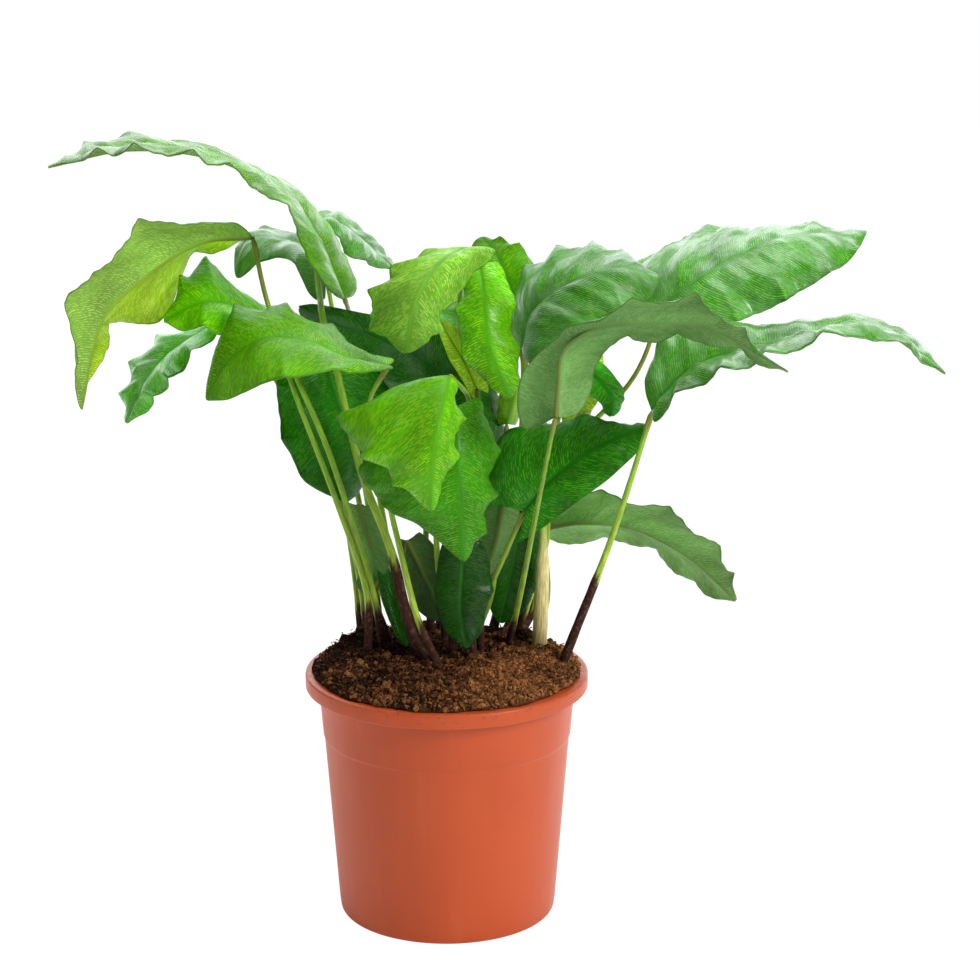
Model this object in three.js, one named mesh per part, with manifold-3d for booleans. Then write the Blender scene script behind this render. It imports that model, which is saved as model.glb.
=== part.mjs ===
// A potted calathea: a nursery pot, the heaped potting soil in it, and the leaves that stand in the soil.
// Millimetres, +Z up, the pot's underside on z = 0 and its axis on the Z axis, the plant's front towards -Y.
import * as THREE from "three";
import Module from "manifold-3d";

const wasm = await Module();
wasm.setup();

// Pot
const POT_HEIGHT = 152;
const RIM_RADIUS = 85;
const RIM_DEPTH = 9;
const RIM_INNER_RADIUS = 76;
const NECK_RADIUS = 77.4;
const SHOULDER_RADIUS = 75.4;
const STEP_HEIGHT = 112;
const STEP_SIZE = 0.7;
const FOOT_RADIUS = 65.5;
const FOOT_BEVEL = 5;
const WALL = 1.8;
const FLOOR = 2.4;
const POT_SEGMENTS = 48;
const DRAIN_COUNT = 6;
const DRAIN_RADIUS = 4.5;
const DRAIN_CIRCLE = 46;

// Soil
const CLEARANCE = 0.3;
const SOIL_SPILL_RADIUS = 81.5;
const SOIL_EDGE_HEIGHT = 153.4;
const SOIL_HEAP = 9;
const SOIL_CLUMPS = [
  { x: -52, y: 36, height: 10, width: 15 },
  { x: -64, y: 2, height: 4, width: 11 },
  { x: -24, y: 60, height: 7, width: 14 },
  { x: 44, y: 50, height: 8, width: 14 },
  { x: 12, y: 66, height: 6, width: 13 },
  { x: 66, y: 14, height: 4, width: 10 },
  { x: -34, y: -46, height: 2.5, width: 12 },
  { x: 30, y: -30, height: 2, width: 14 },
];
const SOIL_SEGMENTS = 32;
const SOIL_RINGS = [0.16, 0.34, 0.52, 0.7, 0.86, 1];

// Leaves
const BLADE_THICKNESS = 0.9;
const STEM_SIDES = 6;
const STEM_DEPTH = 16;
const STEM_TIP_GAP = 0.35;
const STEM_TIP_SHARE = 0.4;
const STEM_FOOT_FLARE = 1.4; // a stem is this much thicker at its foot, and loses STEM_TAPER on the way up
const STEM_TAPER = 0.55;
const ACROSS = [0, 0.45, 0.8, 1];
const ACROSS_SMALL = [0, 0.55, 1];
const NEAREST_STATIONS = 0.05;
const LONGEST_STATION_STEP = 0.15;

// Each leaf: the stem from the soil to the blade, the midrib from base to tip, and for each half of the
// blade its reach from the midrib a fifth, a half and four fifths of the way along. Crests are the places
// along the midrib where the waved margin stands up in a point; wave is their height.
const LEAVES = [
  {
    name: "long_left",
    tone: "bright",
    stem: [
      [-26, 42, 158], [-35, 58, 203], [-49, 74, 282], [-59, 68, 343], [-59, 54, 360],
      [-59, 31, 370],
    ],
    stemRadius: 1.65,
    rib: [
      [-60, 25, 374], [-74, 8, 414], [-92, -2, 440], [-132, -10, 463], [-180, -15, 469],
      [-226, -20, 460],
    ],
    left: [[-8, -40, 6], [2, -37, 4], [8, -54, 10]],
    right: [[11, 48, -8], [-5, 49, -5], [-14, 68, 1]],
    crestsLeft: [0.32, 0.53, 0.63, 0.78, 0.87],
    crestsRight: [0.41, 0.56, 0.77, 0.89, 0.95],
    wave: 3.2,
    lobeLeft: 6,
    lobeRight: 6,
    arch: 0.08,
  },
  {
    name: "behind_left_top",
    tone: "mid",
    stem: [
      [-10, -8, 160], [-21, -6, 177], [-33, 4, 225], [-48, 10, 264], [-56, 12, 294],
      [-66, 16, 339], [-72, 12, 364], [-75, 34, 375], [-77, 48, 385], [-77, 54, 394],
    ],
    stemRadius: 2.2,
    rib: [[-77, 56, 396], [-75, 62, 409], [-65, 74, 410], [-51, 92, 396], [-33, 110, 374]],
    left: [[-3, 22, 8], [-2, 39, -3], [5, 52, -8]],
    right: [[-8, -14, 11], [-6, -25, -4], [-8, -37, -2]],
    crestsLeft: [0.12, 0.5],
    crestsRight: [0.1, 0.45, 0.75],
    wave: 2.6,
    lobeLeft: 6,
    lobeRight: 6,
    arch: 0.08,
  },
  {
    name: "left_rear_fold",
    tone: "mid",
    stem: [[-42, 50, 158], [-48, 68, 226], [-60, 72, 301], [-71, 78, 362], [-73, 79, 380]],
    stemRadius: 1.65,
    rib: [[-74, 78, 382], [-88, 82, 395], [-104, 84, 399], [-117, 84, 399], [-128, 78, 393]],
    left: [[0, -35, -19], [-3, -22, -6], [-10, -39, -30]],
    right: [[5, 36, -2], [-6, 37, -2], [-9, 33, 0]],
    crestsLeft: [0.35, 0.65],
    crestsRight: [0.3, 0.6],
    wave: 2.5,
    lobeLeft: 6,
    lobeRight: 6,
    arch: 0.08,
  },
  {
    name: "left_small_bright",
    tone: "bright",
    stem: [
      [-48, 8, 158], [-48, 4, 199], [-64, -6, 256], [-88, -8, 324], [-98, 4, 354],
      [-100, 13, 362],
    ],
    stemRadius: 1.65,
    rib: [[-101, 15, 363], [-118, 8, 371], [-140, -5, 378], [-163, -12, 369]],
    left: [[3, -23, -4], [3, -29, -11], [0, -22, -13]],
    right: [[-4, 28, 7], [-9, 31, 18], [-9, 34, 17]],
    crestsLeft: [0.35, 0.65],
    crestsRight: [0.55, 0.78],
    wave: 4,
    lobeLeft: 6,
    lobeRight: 6,
    arch: 0.08,
  },
  {
    name: "left_low_grey",
    tone: "mid",
    stem: [
      [-48, 34, 158], [-56, 48, 206], [-68, 50, 247], [-89, 56, 292], [-118, 52, 340],
      [-135, 42, 355],
    ],
    stemRadius: 1.65,
    rib: [[-136, 40, 357], [-159, 32, 344], [-176, 26, 328], [-190, 18, 300]],
    left: [[8, -23, 0], [12, -37, 0], [17, -33, 3]],
    right: [[-11, 29, -2], [-15, 35, -2], [-19, 38, -7]],
    crestsLeft: [0.3, 0.55, 0.75],
    crestsRight: [0.35, 0.6, 0.8],
    wave: 3,
    lobeLeft: 6,
    lobeRight: 6,
    arch: 0.08,
  },
  {
    name: "left_front_bright",
    tone: "bright",
    stem: [
      [-4, -20, 160], [-17, -18, 190], [-29, -15, 240], [-34, -14, 263], [-41, -14, 298],
      [-44, -18, 322], [-38, -24, 341],
    ],
    stemRadius: 1.65,
    rib: [
      [-33, -25, 345], [-57, -38, 353], [-79, -48, 365], [-103, -58, 368], [-122, -62, 356],
      [-135, -64, 335],
    ],
    left: [[2, -29, -1], [3, -41, -14], [10, -36, -23]],
    right: [[8, 37, -2], [2, 55, 3], [-8, 56, 24]],
    crestsLeft: [0.3, 0.55],
    crestsRight: [0.38, 0.55, 0.74],
    wave: 2.8,
    lobeLeft: 12,
    lobeRight: 6,
    arch: 0.08,
  },
  {
    name: "left_hanging_dark",
    tone: "deep",
    stem: [[-46, 40, 158], [-48, 56, 204], [-61, 62, 272], [-72, 52, 312], [-74, 38, 331]],
    stemRadius: 1.65,
    rib: [[-74, 38, 333], [-65, 37, 303], [-57, 36, 276], [-61, 28, 249]],
    left: [[38, 19, 2], [25, 26, -4], [15, 47, -22]],
    right: [[-33, -14, 16], [-40, -23, 12], [-48, -42, 10]],
    crestsLeft: [0.4, 0.7],
    crestsRight: [0.3, 0.6, 0.85],
    wave: 2,
    lobeLeft: 6,
    lobeRight: 6,
    arch: 0.08,
  },
  {
    name: "centre_front_bright",
    tone: "bright",
    stem: [
      [4, -2, 160], [3, 2, 195], [7, -6, 247], [13, -10, 291], [14, -20, 323],
      [6, -54, 345],
    ],
    stemRadius: 1.65,
    rib: [[3, -62, 348], [-1, -88, 334], [-6, -100, 308], [-7, -96, 278]],
    left: [[9, 15, -10], [13, 25, -7], [14, 19, -3]],
    right: [[-67, 23, -22], [-44, 19, -16], [-32, 16, -6]],
    crestsLeft: [0.35, 0.65],
    crestsRight: [0.2, 0.55, 0.8],
    wave: 3,
    lobeLeft: 6,
    lobeRight: 6,
    arch: 0.08,
  },
  {
    name: "centre_dark_below",
    tone: "mid",
    stem: [[-1, 16, 160], [-2, 14, 182], [-6, 4, 234], [-3, -10, 279], [5, -38, 321]],
    stemRadius: 1.65,
    rib: [[6, -40, 324], [7, -54, 302], [9, -62, 272], [11, -62, 238]],
    left: [[24, 26, 2], [21, 23, -3], [22, 21, 1]],
    right: [[-38, 28, -2], [-59, 21, -4], [-51, 14, 7]],
    crestsLeft: [0.35, 0.6, 0.85],
    crestsRight: [0.4, 0.75],
    wave: 3,
    lobeLeft: 6,
    lobeRight: 6,
    arch: 0.08,
  },
  {
    name: "centre_gloss",
    tone: "bright",
    stem: [[12, 46, 160], [22, 50, 231], [27, 42, 308], [26, 34, 371], [21, 16, 395]],
    stemRadius: 1.65,
    rib: [[20, 12, 398], [23, -4, 379], [26, -12, 354], [37, -12, 323]],
    left: [[19, 4, 0], [16, 11, -1], [21, 7, -4]],
    right: [[-14, 4, -2], [-18, 11, 1], [-23, 7, -2]],
    crestsLeft: [0.35, 0.62],
    crestsRight: [0.4, 0.7],
    wave: 2.6,
    lobeLeft: 6,
    lobeRight: 6,
    arch: 0.08,
  },
  {
    name: "upper_fold",
    tone: "mid",
    stem: [[56, 24, 160], [58, 30, 218], [57, 30, 244], [53, 28, 293], [46, 19, 343]],
    stemRadius: 2.7,
    rib: [[45, 18, 345], [52, 8, 371], [72, -4, 389], [99, -4, 398], [124, 0, 393]],
    left: [[-9, 48, 11], [1, 60, 12], [-1, 75, 2]],
    right: [[13, -41, -13], [17, -36, -17], [16, -47, -27]],
    crestsLeft: [0.3, 0.46, 0.66, 0.82],
    crestsRight: [0.4, 0.7],
    wave: 2.6,
    lobeLeft: 6,
    lobeRight: 6,
    arch: 0.08,
  },
  {
    name: "centre_shadow",
    tone: "deep",
    stem: [[-10, 48, 160], [-13, 56, 229], [-2, 58, 292], [3, 47, 312]],
    stemRadius: 1.65,
    rib: [[3, 44, 315], [-25, 42, 339], [-58, 42, 353], [-88, 46, 364]],
    left: [[0, 15, -36], [-3, 25, -33], [-11, 18, -26]],
    right: [[13, -10, 23], [1, -6, 16], [-6, 2, 14]],
    crestsLeft: [0.5],
    crestsRight: [0.5],
    wave: 2,
    lobeLeft: 6,
    lobeRight: 6,
    arch: 0.08,
  },
  {
    name: "low_left_grey",
    tone: "grey",
    stem: [[-28, 55, 158], [-39, 54, 179], [-42, 50, 206], [-50, 40, 239], [-53, 37, 243]],
    stemRadius: 1.6,
    rib: [[-54, 34, 245], [-49, 32, 227], [-45, 30, 210], [-47, 26, 191]],
    left: [[-9, -3, 0], [-9, -5, -3], [-14, -7, -6]],
    right: [[16, 6, -6], [13, 9, -7], [9, 9, -9]],
    crestsLeft: [0.5, 0.8],
    crestsRight: [0.6],
    wave: 2,
    lobeLeft: 6,
    lobeRight: 6,
    arch: 0.08,
    one: true,
  },
  {
    name: "low_centre_dark",
    tone: "deep",
    stem: [[16, -10, 160], [15, -6, 194], [14, -4, 219], [10, -10, 231]],
    stemRadius: 1.5,
    rib: [[10, -14, 234], [9, -15, 216], [8, -18, 194], [12, -24, 173]],
    left: [[19, 5, 2], [19, 6, 2], [21, 7, 1]],
    right: [[-16, 1, 6], [-15, 2, 4], [-20, 2, 3]],
    crestsLeft: [0.5],
    crestsRight: [0.5],
    wave: 1.2,
    lobeLeft: 6,
    lobeRight: 6,
    arch: 0.08,
    one: true,
  },
  {
    name: "low_right_grey",
    tone: "grey",
    stem: [[14, 36, 158], [26, 27, 187], [31, 26, 222], [34, 27, 248]],
    stemRadius: 1.6,
    rib: [[34, 24, 251], [32, 20, 238], [29, 18, 223], [22, 18, 201]],
    left: [[-12, 1, 3], [-15, -2, 5], [-17, -3, 4]],
    right: [[12, 11, 1], [12, 10, 1], [13, 10, 2]],
    crestsLeft: [0.5],
    crestsRight: [0.5],
    wave: 1.5,
    lobeLeft: 6,
    lobeRight: 6,
    arch: 0.08,
    one: true,
  },
  {
    name: "left_drooping",
    tone: "olive",
    stem: [
      [-38, 18, 158], [-45, 6, 202], [-64, -8, 274], [-75, -10, 306], [-87, -8, 334],
      [-103, -2, 375], [-112, 0, 414],
    ],
    stemRadius: 1.7,
    rib: [[-112, 0, 416], [-142, -10, 414], [-174, -20, 395], [-198, -25, 370], [-211, -25, 319]],
    left: [[-6, -38, 25], [-6, -37, 32], [-15, -37, 33]],
    right: [[-9, 40, -21], [6, 47, -29], [6, 50, 6]],
    crestsLeft: [0.36, 0.73],
    crestsRight: [0.18, 0.7],
    wave: 5.5,
    lobeLeft: 6,
    lobeRight: 6,
    arch: 0.08,
  },
  {
    name: "yellow_backlit",
    tone: "olive",
    stem: [
      [38, 64, 158], [55, 92, 193], [58, 90, 233], [73, 74, 282], [87, 58, 320],
      [87, 47, 333],
    ],
    stemRadius: 1.65,
    rib: [[87, 44, 336], [82, 44, 317], [79, 42, 301], [75, 38, 281]],
    left: [[11, 2, -3], [10, 3, -1], [11, 0, 2]],
    right: [[-11, 2, 0], [-11, 3, 0], [-13, 3, 2]],
    crestsLeft: [0.5],
    crestsRight: [0.5],
    wave: 2,
    lobeLeft: 6,
    lobeRight: 6,
    arch: 0.08,
  },
  {
    name: "young_backlit",
    tone: "olive",
    stem: [[12, 12, 160], [16, 6, 219], [20, -8, 272], [20, -10, 303], [20, 1, 322]],
    stemRadius: 1.65,
    rib: [[18, 6, 324], [11, 8, 340], [4, 8, 352], [-3, 6, 364]],
    left: [[-2, -1, -10], [-6, 0, -4], [-7, -2, -1]],
    right: [[9, -5, 3], [2, -5, 10], [2, -7, 12]],
    crestsLeft: [0.5],
    crestsRight: [0.5],
    wave: 1,
    lobeLeft: 6,
    lobeRight: 6,
    arch: 0.08,
  },
  {
    name: "low_centre_grey",
    tone: "grey",
    stem: [[-17, 31, 158], [-22, 38, 184], [-25, 42, 207], [-24, 42, 219]],
    stemRadius: 1.6,
    rib: [[-24, 40, 221], [-17, 36, 207], [-9, 34, 190], [-3, 33, 173]],
    left: [[-9, 3, -5], [-10, -1, -12], [-9, -1, -15]],
    right: [[16, -4, 6], [18, -3, -2], [17, -2, -8]],
    crestsLeft: [0.6],
    crestsRight: [0.5],
    wave: 1.5,
    lobeLeft: 6,
    lobeRight: 6,
    arch: 0.08,
    one: true,
  },
  {
    name: "low_left_narrow",
    tone: "deep",
    stem: [[-34, 25, 158], [-43, 24, 188], [-42, 25, 198], [-39, 24, 203]],
    stemRadius: 1.4,
    rib: [[-38, 22, 205], [-34, 17, 193], [-29, 12, 179], [-24, 4, 165]],
    left: [[5, 6, 2], [4, 6, 2], [5, 6, 3]],
    right: [[-6, -1, 1], [-6, -2, 0], [-6, -4, -1]],
    crestsLeft: [0.5],
    crestsRight: [0.5],
    wave: 1,
    lobeLeft: 6,
    lobeRight: 6,
    arch: 0.08,
    one: true,
  },
  {
    name: "centre_behind_dark",
    tone: "deep",
    stem: [[10, 62, 160], [19, 66, 201], [19, 60, 254], [19, 48, 301], [20, 29, 326]],
    stemRadius: 1.6,
    rib: [[20, 24, 329], [21, 18, 309], [21, 14, 288], [17, 12, 263]],
    left: [[13, 25, -6], [12, 29, -8], [21, 38, -20]],
    right: [[-22, 2, 1], [-20, 1, 0], [-22, -2, -4]],
    crestsLeft: [0.5],
    crestsRight: [0.5],
    wave: 1.5,
    lobeLeft: 6,
    lobeRight: 6,
    arch: 0.08,
    one: true,
  },
  {
    name: "young_rolled",
    tone: "olive",
    stem: [[20, 64, 160], [25, 64, 201], [34, 48, 257], [36, 30, 289]],
    stemRadius: 1.5,
    rib: [[36, 24, 298], [38, 18, 307], [40, 12, 317], [41, 6, 326]],
    left: [[-8, 11, -1], [-9, 13, -1], [-12, 17, -3]],
    right: [[9, 9, 0], [7, 9, -1], [8, 10, -2]],
    crestsLeft: [0.5],
    crestsRight: [0.5],
    wave: 0.6,
    lobeLeft: 6,
    lobeRight: 6,
    arch: 0.08,
    one: true,
  },
  {
    name: "right_long",
    tone: "mid",
    stem: [[71, 4, 158], [94, -18, 229], [106, -36, 274], [119, -48, 321]],
    stemRadius: 1.9,
    rib: [[119, -46, 323], [142, -40, 347], [186, -42, 362], [242, -38, 371], [289, -28, 341]],
    left: [[-16, 25, 19], [-15, 32, 1], [3, 64, -2]],
    right: [[-4, -41, -1], [-14, -42, 0], [-10, -61, 10]],
    crestsLeft: [0.16, 0.34, 0.93],
    crestsRight: [0.14, 0.3, 0.46, 0.62, 0.84],
    wave: 3.6,
    lobeLeft: 7,
    lobeRight: 14,
    arch: 0.08,
  },
  {
    name: "centre_light",
    tone: "olive",
    stem: [[6, 26, 160], [7, 18, 215], [9, 34, 310], [8, 22, 374], [11, -12, 411]],
    stemRadius: 1.65,
    rib: [[12, -18, 413], [-2, -45, 410], [-16, -62, 392], [-22, -48, 358]],
    left: [[26, 27, -10], [16, 21, -15], [26, 24, -13]],
    right: [[-26, -3, -2], [-31, 16, -11], [-31, 24, -12]],
    crestsLeft: [0.5, 0.75],
    crestsRight: [0.12, 0.3, 0.48, 0.75],
    wave: 2.5,
    lobeLeft: 6,
    lobeRight: 6,
    arch: 0.08,
  },
  {
    name: "top_rear",
    tone: "bright",
    stem: [[28, 44, 158], [41, 58, 242], [46, 62, 303], [45, 57, 346]],
    stemRadius: 1.65,
    rib: [[45, 56, 348], [39, 66, 371], [31, 78, 388], [21, 98, 397]],
    left: [[-11, 5, -10], [-17, 7, -8], [-26, 14, -9]],
    right: [[16, -2, -7], [17, 1, 5], [20, -3, 7]],
    crestsLeft: [0.4, 0.7],
    crestsRight: [0.5, 0.72, 0.9],
    wave: 3,
    lobeLeft: 6,
    lobeRight: 6,
    arch: 0.08,
  },
  {
    name: "right_low_dark",
    tone: "deep",
    stem: [[20, 10, 160], [22, -2, 192], [33, -6, 221], [46, -5, 250]],
    stemRadius: 1.6,
    rib: [[46, -6, 252], [65, -18, 277], [91, -24, 297], [118, -26, 309]],
    left: [[-31, 29, 24], [-7, 28, 20], [5, 21, 12]],
    right: [[12, -15, -11], [17, -17, -8], [14, -15, -13]],
    crestsLeft: [0.3, 0.6],
    crestsRight: [0.3, 0.65],
    wave: 2.5,
    lobeLeft: 34,
    lobeRight: 30,
    arch: 0.08,
  },
  {
    name: "right_large",
    tone: "mid",
    stem: [
      [42, 44, 158], [60, 48, 216], [61, 45, 248], [79, 34, 286], [108, 30, 320],
      [120, 26, 345], [122, 23, 361],
    ],
    stemRadius: 1.65,
    rib: [[122, 22, 363], [138, 16, 380], [160, 20, 394], [198, 38, 408], [251, 60, 408]],
    left: [[-24, 92, 6], [-18, 70, -3], [-14, 65, -8]],
    right: [[15, -14, -25], [14, -31, -28], [15, -47, -23]],
    crestsLeft: [0.08, 0.47, 0.82],
    crestsRight: [0.3, 0.52, 0.74, 0.9],
    wave: 4,
    lobeLeft: 10,
    lobeRight: 10,
    arch: 0.08,
  },
  {
    name: "small_dark",
    tone: "deep",
    stem: [
      [46, 54, 158], [54, 57, 178], [55, 54, 217], [62, 42, 271], [69, 26, 312],
      [72, -3, 347],
    ],
    stemRadius: 1.65,
    rib: [[73, -6, 350], [86, 0, 335], [97, 4, 321], [98, 8, 307]],
    left: [[16, 3, -4], [14, 5, -6], [12, 8, -6]],
    right: [[-4, 10, -8], [-9, 9, -7], [-11, 11, -9]],
    crestsLeft: [0.5],
    crestsRight: [0.6],
    wave: 2,
    lobeLeft: 2,
    lobeRight: 2,
    arch: 0.08,
  },
  {
    name: "low_right_dark",
    tone: "deep",
    stem: [[31, 31, 158], [43, 44, 182], [45, 46, 220], [43, 43, 243]],
    stemRadius: 1.6,
    rib: [[43, 40, 245], [42, 38, 219], [37, 37, 192], [32, 36, 170]],
    left: [[17, 7, -6], [18, 5, -8], [21, 2, -10]],
    right: [[-16, -3, 2], [-16, -4, -2], [-16, -4, -2]],
    crestsLeft: [0.5],
    crestsRight: [0.5],
    wave: 1.5,
    lobeLeft: 6,
    lobeRight: 6,
    arch: 0.08,
    one: true,
  },
  {
    name: "right_arching",
    tone: "grey",
    stem: [[37, 26, 160], [43, 0, 194], [53, -48, 265], [61, -88, 322], [63, -92, 329]],
    stemRadius: 1.55,
    rib: [
      [63, -90, 331], [64, -93, 350], [67, -93, 369], [84, -90, 381], [115, -94, 385],
      [147, -102, 384], [190, -112, 362],
    ],
    left: [[21, 31, -15], [6, 28, -15], [7, 31, -18]],
    right: [[-24, 18, -15], [3, -28, 20], [2, -25, 15]],
    crestsLeft: [0.4, 0.6, 0.8],
    crestsRight: [0.32, 0.46, 0.62, 0.82],
    wave: 3,
    lobeLeft: 2,
    lobeRight: 8,
    arch: 0.08,
  },
  {
    name: "right_lowest",
    tone: "grey",
    stem: [[56, 48, 158], [62, 70, 180], [59, 71, 218]],
    stemRadius: 1.5,
    rib: [[59, 70, 220], [83, 50, 229], [114, 40, 228], [147, 32, 212], [175, 26, 187]],
    left: [[6, 39, -24], [4, 40, -21], [-5, 42, -29]],
    right: [[0, -12, 25], [13, -32, 23], [17, -37, 24]],
    crestsLeft: [0.3, 0.55, 0.8],
    crestsRight: [0.28, 0.5, 0.76, 0.9],
    wave: 2.8,
    lobeLeft: 6,
    lobeRight: 10,
    arch: 0.08,
  },
  {
    name: "rear_centre",
    tone: "mid",
    stem: [[-6, 66, 158], [4, 74, 198], [10, 84, 266], [13, 86, 329], [14, 85, 339]],
    stemRadius: 1.65,
    rib: [[14, 84, 341], [13, 108, 355], [12, 136, 358], [11, 166, 346], [10, 192, 324]],
    left: [[28, -1, -8], [30, -1, -6], [34, -3, -3]],
    right: [[-26, -1, -8], [-28, -1, -6], [-29, -3, -3]],
    crestsLeft: [0.3, 0.6],
    crestsRight: [0.4, 0.75],
    wave: 2.2,
    lobeLeft: 6,
    lobeRight: 6,
    arch: 0.08,
    one: true,
  },
  {
    name: "rear_right",
    tone: "mid",
    stem: [
      [28, 66, 158], [32, 71, 173], [42, 80, 210], [48, 84, 241], [60, 88, 284],
      [84, 86, 328], [87, 83, 337],
    ],
    stemRadius: 1.65,
    rib: [[87, 82, 339], [91, 104, 353], [96, 130, 355], [99, 156, 346], [102, 176, 328]],
    left: [[20, -2, -8], [20, -1, -4], [21, -1, -3]],
    right: [[-23, 0, -6], [-22, 1, -2], [-23, 2, -2]],
    crestsLeft: [0.35, 0.7],
    crestsRight: [0.3, 0.6],
    wave: 2.2,
    lobeLeft: 6,
    lobeRight: 6,
    arch: 0.08,
    one: true,
  },
  {
    name: "rear_left",
    tone: "deep",
    stem: [[-53, 45, 158], [-59, 72, 199], [-70, 86, 266], [-77, 86, 313], [-78, 82, 326]],
    stemRadius: 1.65,
    rib: [[-78, 80, 328], [-80, 102, 334], [-83, 128, 329], [-86, 152, 309]],
    left: [[-20, 1, -3], [-21, 5, -5], [-22, 6, -9]],
    right: [[20, 3, -5], [22, 7, -7], [22, 10, -12]],
    crestsLeft: [0.3, 0.6],
    crestsRight: [0.4, 0.75],
    wave: 2.2,
    lobeLeft: 6,
    lobeRight: 6,
    arch: 0.08,
    one: true,
  },
];

const COLOURS = {
  bright: "#6aa51e",
  mid: "#4c8f22",
  olive: "#7aa83c",
  deep: "#2f6a1c",
  grey: "#7d9a72",
};
const STEM_COLOUR = "#8fb04a";
const POT_COLOUR = "#c5653f";
const SOIL_COLOUR = "#5b3a28";

const vec = (p) => new THREE.Vector3(p[0], p[1], p[2]);

// A smooth curve through the given points, walked by its length.
function curveThrough(points) {
  const p = points.map(vec);
  const last = p.length - 1;
  const knot = (k) => {
    if (k < 0) return p[0].clone().multiplyScalar(2).sub(p[1]);
    if (k > last) return p[last].clone().multiplyScalar(2).sub(p[last - 1]);
    return p[k];
  };
  const at = (u) => {
    const x = Math.min(Math.max(u, 0), 1) * last;
    const i = Math.min(Math.floor(x), last - 1);
    const f = x - i;
    const [a, b, c, d] = [knot(i - 1), knot(i), knot(i + 1), knot(i + 2)];
    const mix = (k) =>
      0.5 *
      (2 * b[k] +
        (c[k] - a[k]) * f +
        (2 * a[k] - 5 * b[k] + 4 * c[k] - d[k]) * f * f +
        (3 * b[k] - a[k] - 3 * c[k] + d[k]) * f ** 3);
    return new THREE.Vector3(mix("x"), mix("y"), mix("z"));
  };
  const samples = Array.from({ length: 97 }, (_, i) => at(i / 96));
  const lengths = [0];
  for (let i = 1; i < samples.length; i++) {
    lengths.push(lengths[i - 1] + samples[i].distanceTo(samples[i - 1]));
  }
  const total = lengths[96];
  return (t) => {
    const want = Math.min(Math.max(t, 0), 1) * total;
    let i = 1;
    while (i < 96 && lengths[i] < want) i++;
    const f = (want - lengths[i - 1]) / Math.max(1e-9, lengths[i] - lengths[i - 1]);
    return samples[i - 1].clone().lerp(samples[i], f);
  };
}

// Half-width along the blade, 1 at its widest: a rounded base and a drawn-out tip.
function outline(t) {
  const body = Math.max(0, Math.sin(Math.PI * t ** 0.75)) ** 0.65;
  return t > 0.85 ? body * (1 - 0.5 * ((t - 0.85) / 0.15) ** 2) : body;
}

// The reach given at three places, read smoothly anywhere along the blade.
function reachAlong(rows, t) {
  const soft = (v) => 0.5 + 0.36 * Math.tanh((v - 0.5) / 0.36);
  const [a, b, c] = [soft(0.2), soft(0.5), soft(0.8)];
  const u = soft(t);
  const out = new THREE.Vector3();
  out.addScaledVector(vec(rows[0]), ((u - b) * (u - c)) / ((a - b) * (a - c)));
  out.addScaledVector(vec(rows[1]), ((u - a) * (u - c)) / ((b - a) * (b - c)));
  out.addScaledVector(vec(rows[2]), ((u - a) * (u - b)) / ((c - a) * (c - b)));
  return out;
}

// The margin's wave: a point up at each crest and a rounded trough between two.
function waveAt(crests, t) {
  const ends = [0, ...crests, 1];
  let i = 0;
  while (i < ends.length - 2 && t > ends[i + 1]) i++;
  const u = (t - ends[i]) / (ends[i + 1] - ends[i]);
  const fade = Math.min(1, t / 0.14, (1 - t) / 0.12);
  return fade * (1 - 1.9 * Math.sin(Math.PI * u));
}

// The blade's middle surface: t from base to tip, s from the left margin (-1) to the right one (1).
function bladeSurface(leaf) {
  const rib = curveThrough(leaf.rib);
  const baseWay = rib(0.06).sub(rib(0)).normalize();
  return (t, s) => {
    const left = s < 0;
    const k = Math.abs(s);
    const reach = reachAlong(left ? leaf.left : leaf.right, t);
    const along = rib(Math.min(1, t + 0.01)).sub(rib(Math.max(0, t - 0.01))).normalize();
    const up = left
      ? new THREE.Vector3().crossVectors(along, reach)
      : new THREE.Vector3().crossVectors(reach, along);
    up.normalize();
    const width = reach.length();
    const wave = waveAt(left ? leaf.crestsLeft : leaf.crestsRight, t);
    const narrow = 1.2 / Math.max(width, 1);
    const share = narrow + (1 - narrow) * outline(t) * (1 + 0.06 * wave * k * k);
    const p = rib(t).addScaledVector(reach, share * k);
    p.addScaledVector(up, leaf.wave * wave * k ** 2.2);
    p.addScaledVector(up, leaf.arch * 4 * k * (1 - k) * width * outline(t));
    if (t < 0.35) {
      const lobe = left ? leaf.lobeLeft : leaf.lobeRight;
      const sweep = lobe * Math.min(1, t / 0.05) * (1 - t / 0.35) ** 2 * k ** 1.4;
      p.addScaledVector(baseWay, -sweep);
    }
    return p;
  };
}

// Stations along the blade: both ends, every crest and the trough after it, and enough between them.
function stationsOf(leaf) {
  const marks = [0, 0.04, 1];
  for (const crests of [leaf.crestsLeft, leaf.crestsRight]) {
    const ends = [0, ...crests, 1];
    for (let i = 1; i < ends.length; i++) {
      marks.push(ends[i], (ends[i - 1] + ends[i]) / 2);
    }
  }
  marks.sort((a, b) => a - b);
  const kept = [];
  for (const t of marks) {
    if (!kept.length || t - kept[kept.length - 1] > NEAREST_STATIONS) kept.push(t);
  }
  kept[kept.length - 1] = 1;
  const out = [0];
  for (let i = 1; i < kept.length; i++) {
    const parts = Math.ceil((kept[i] - kept[i - 1]) / LONGEST_STATION_STEP);
    for (let k = 1; k <= parts; k++) {
      out.push(kept[i - 1] + ((kept[i] - kept[i - 1]) * k) / parts);
    }
  }
  return out;
}

function solidFrom(points, triangles) {
  const made = new wasm.Manifold(
    new wasm.Mesh({
      numProp: 3,
      vertProperties: new Float32Array(points.flatMap((p) => [p.x, p.y, p.z])),
      triVerts: new Uint32Array(triangles.flat()),
    }),
  );
  return made;
}

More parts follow.
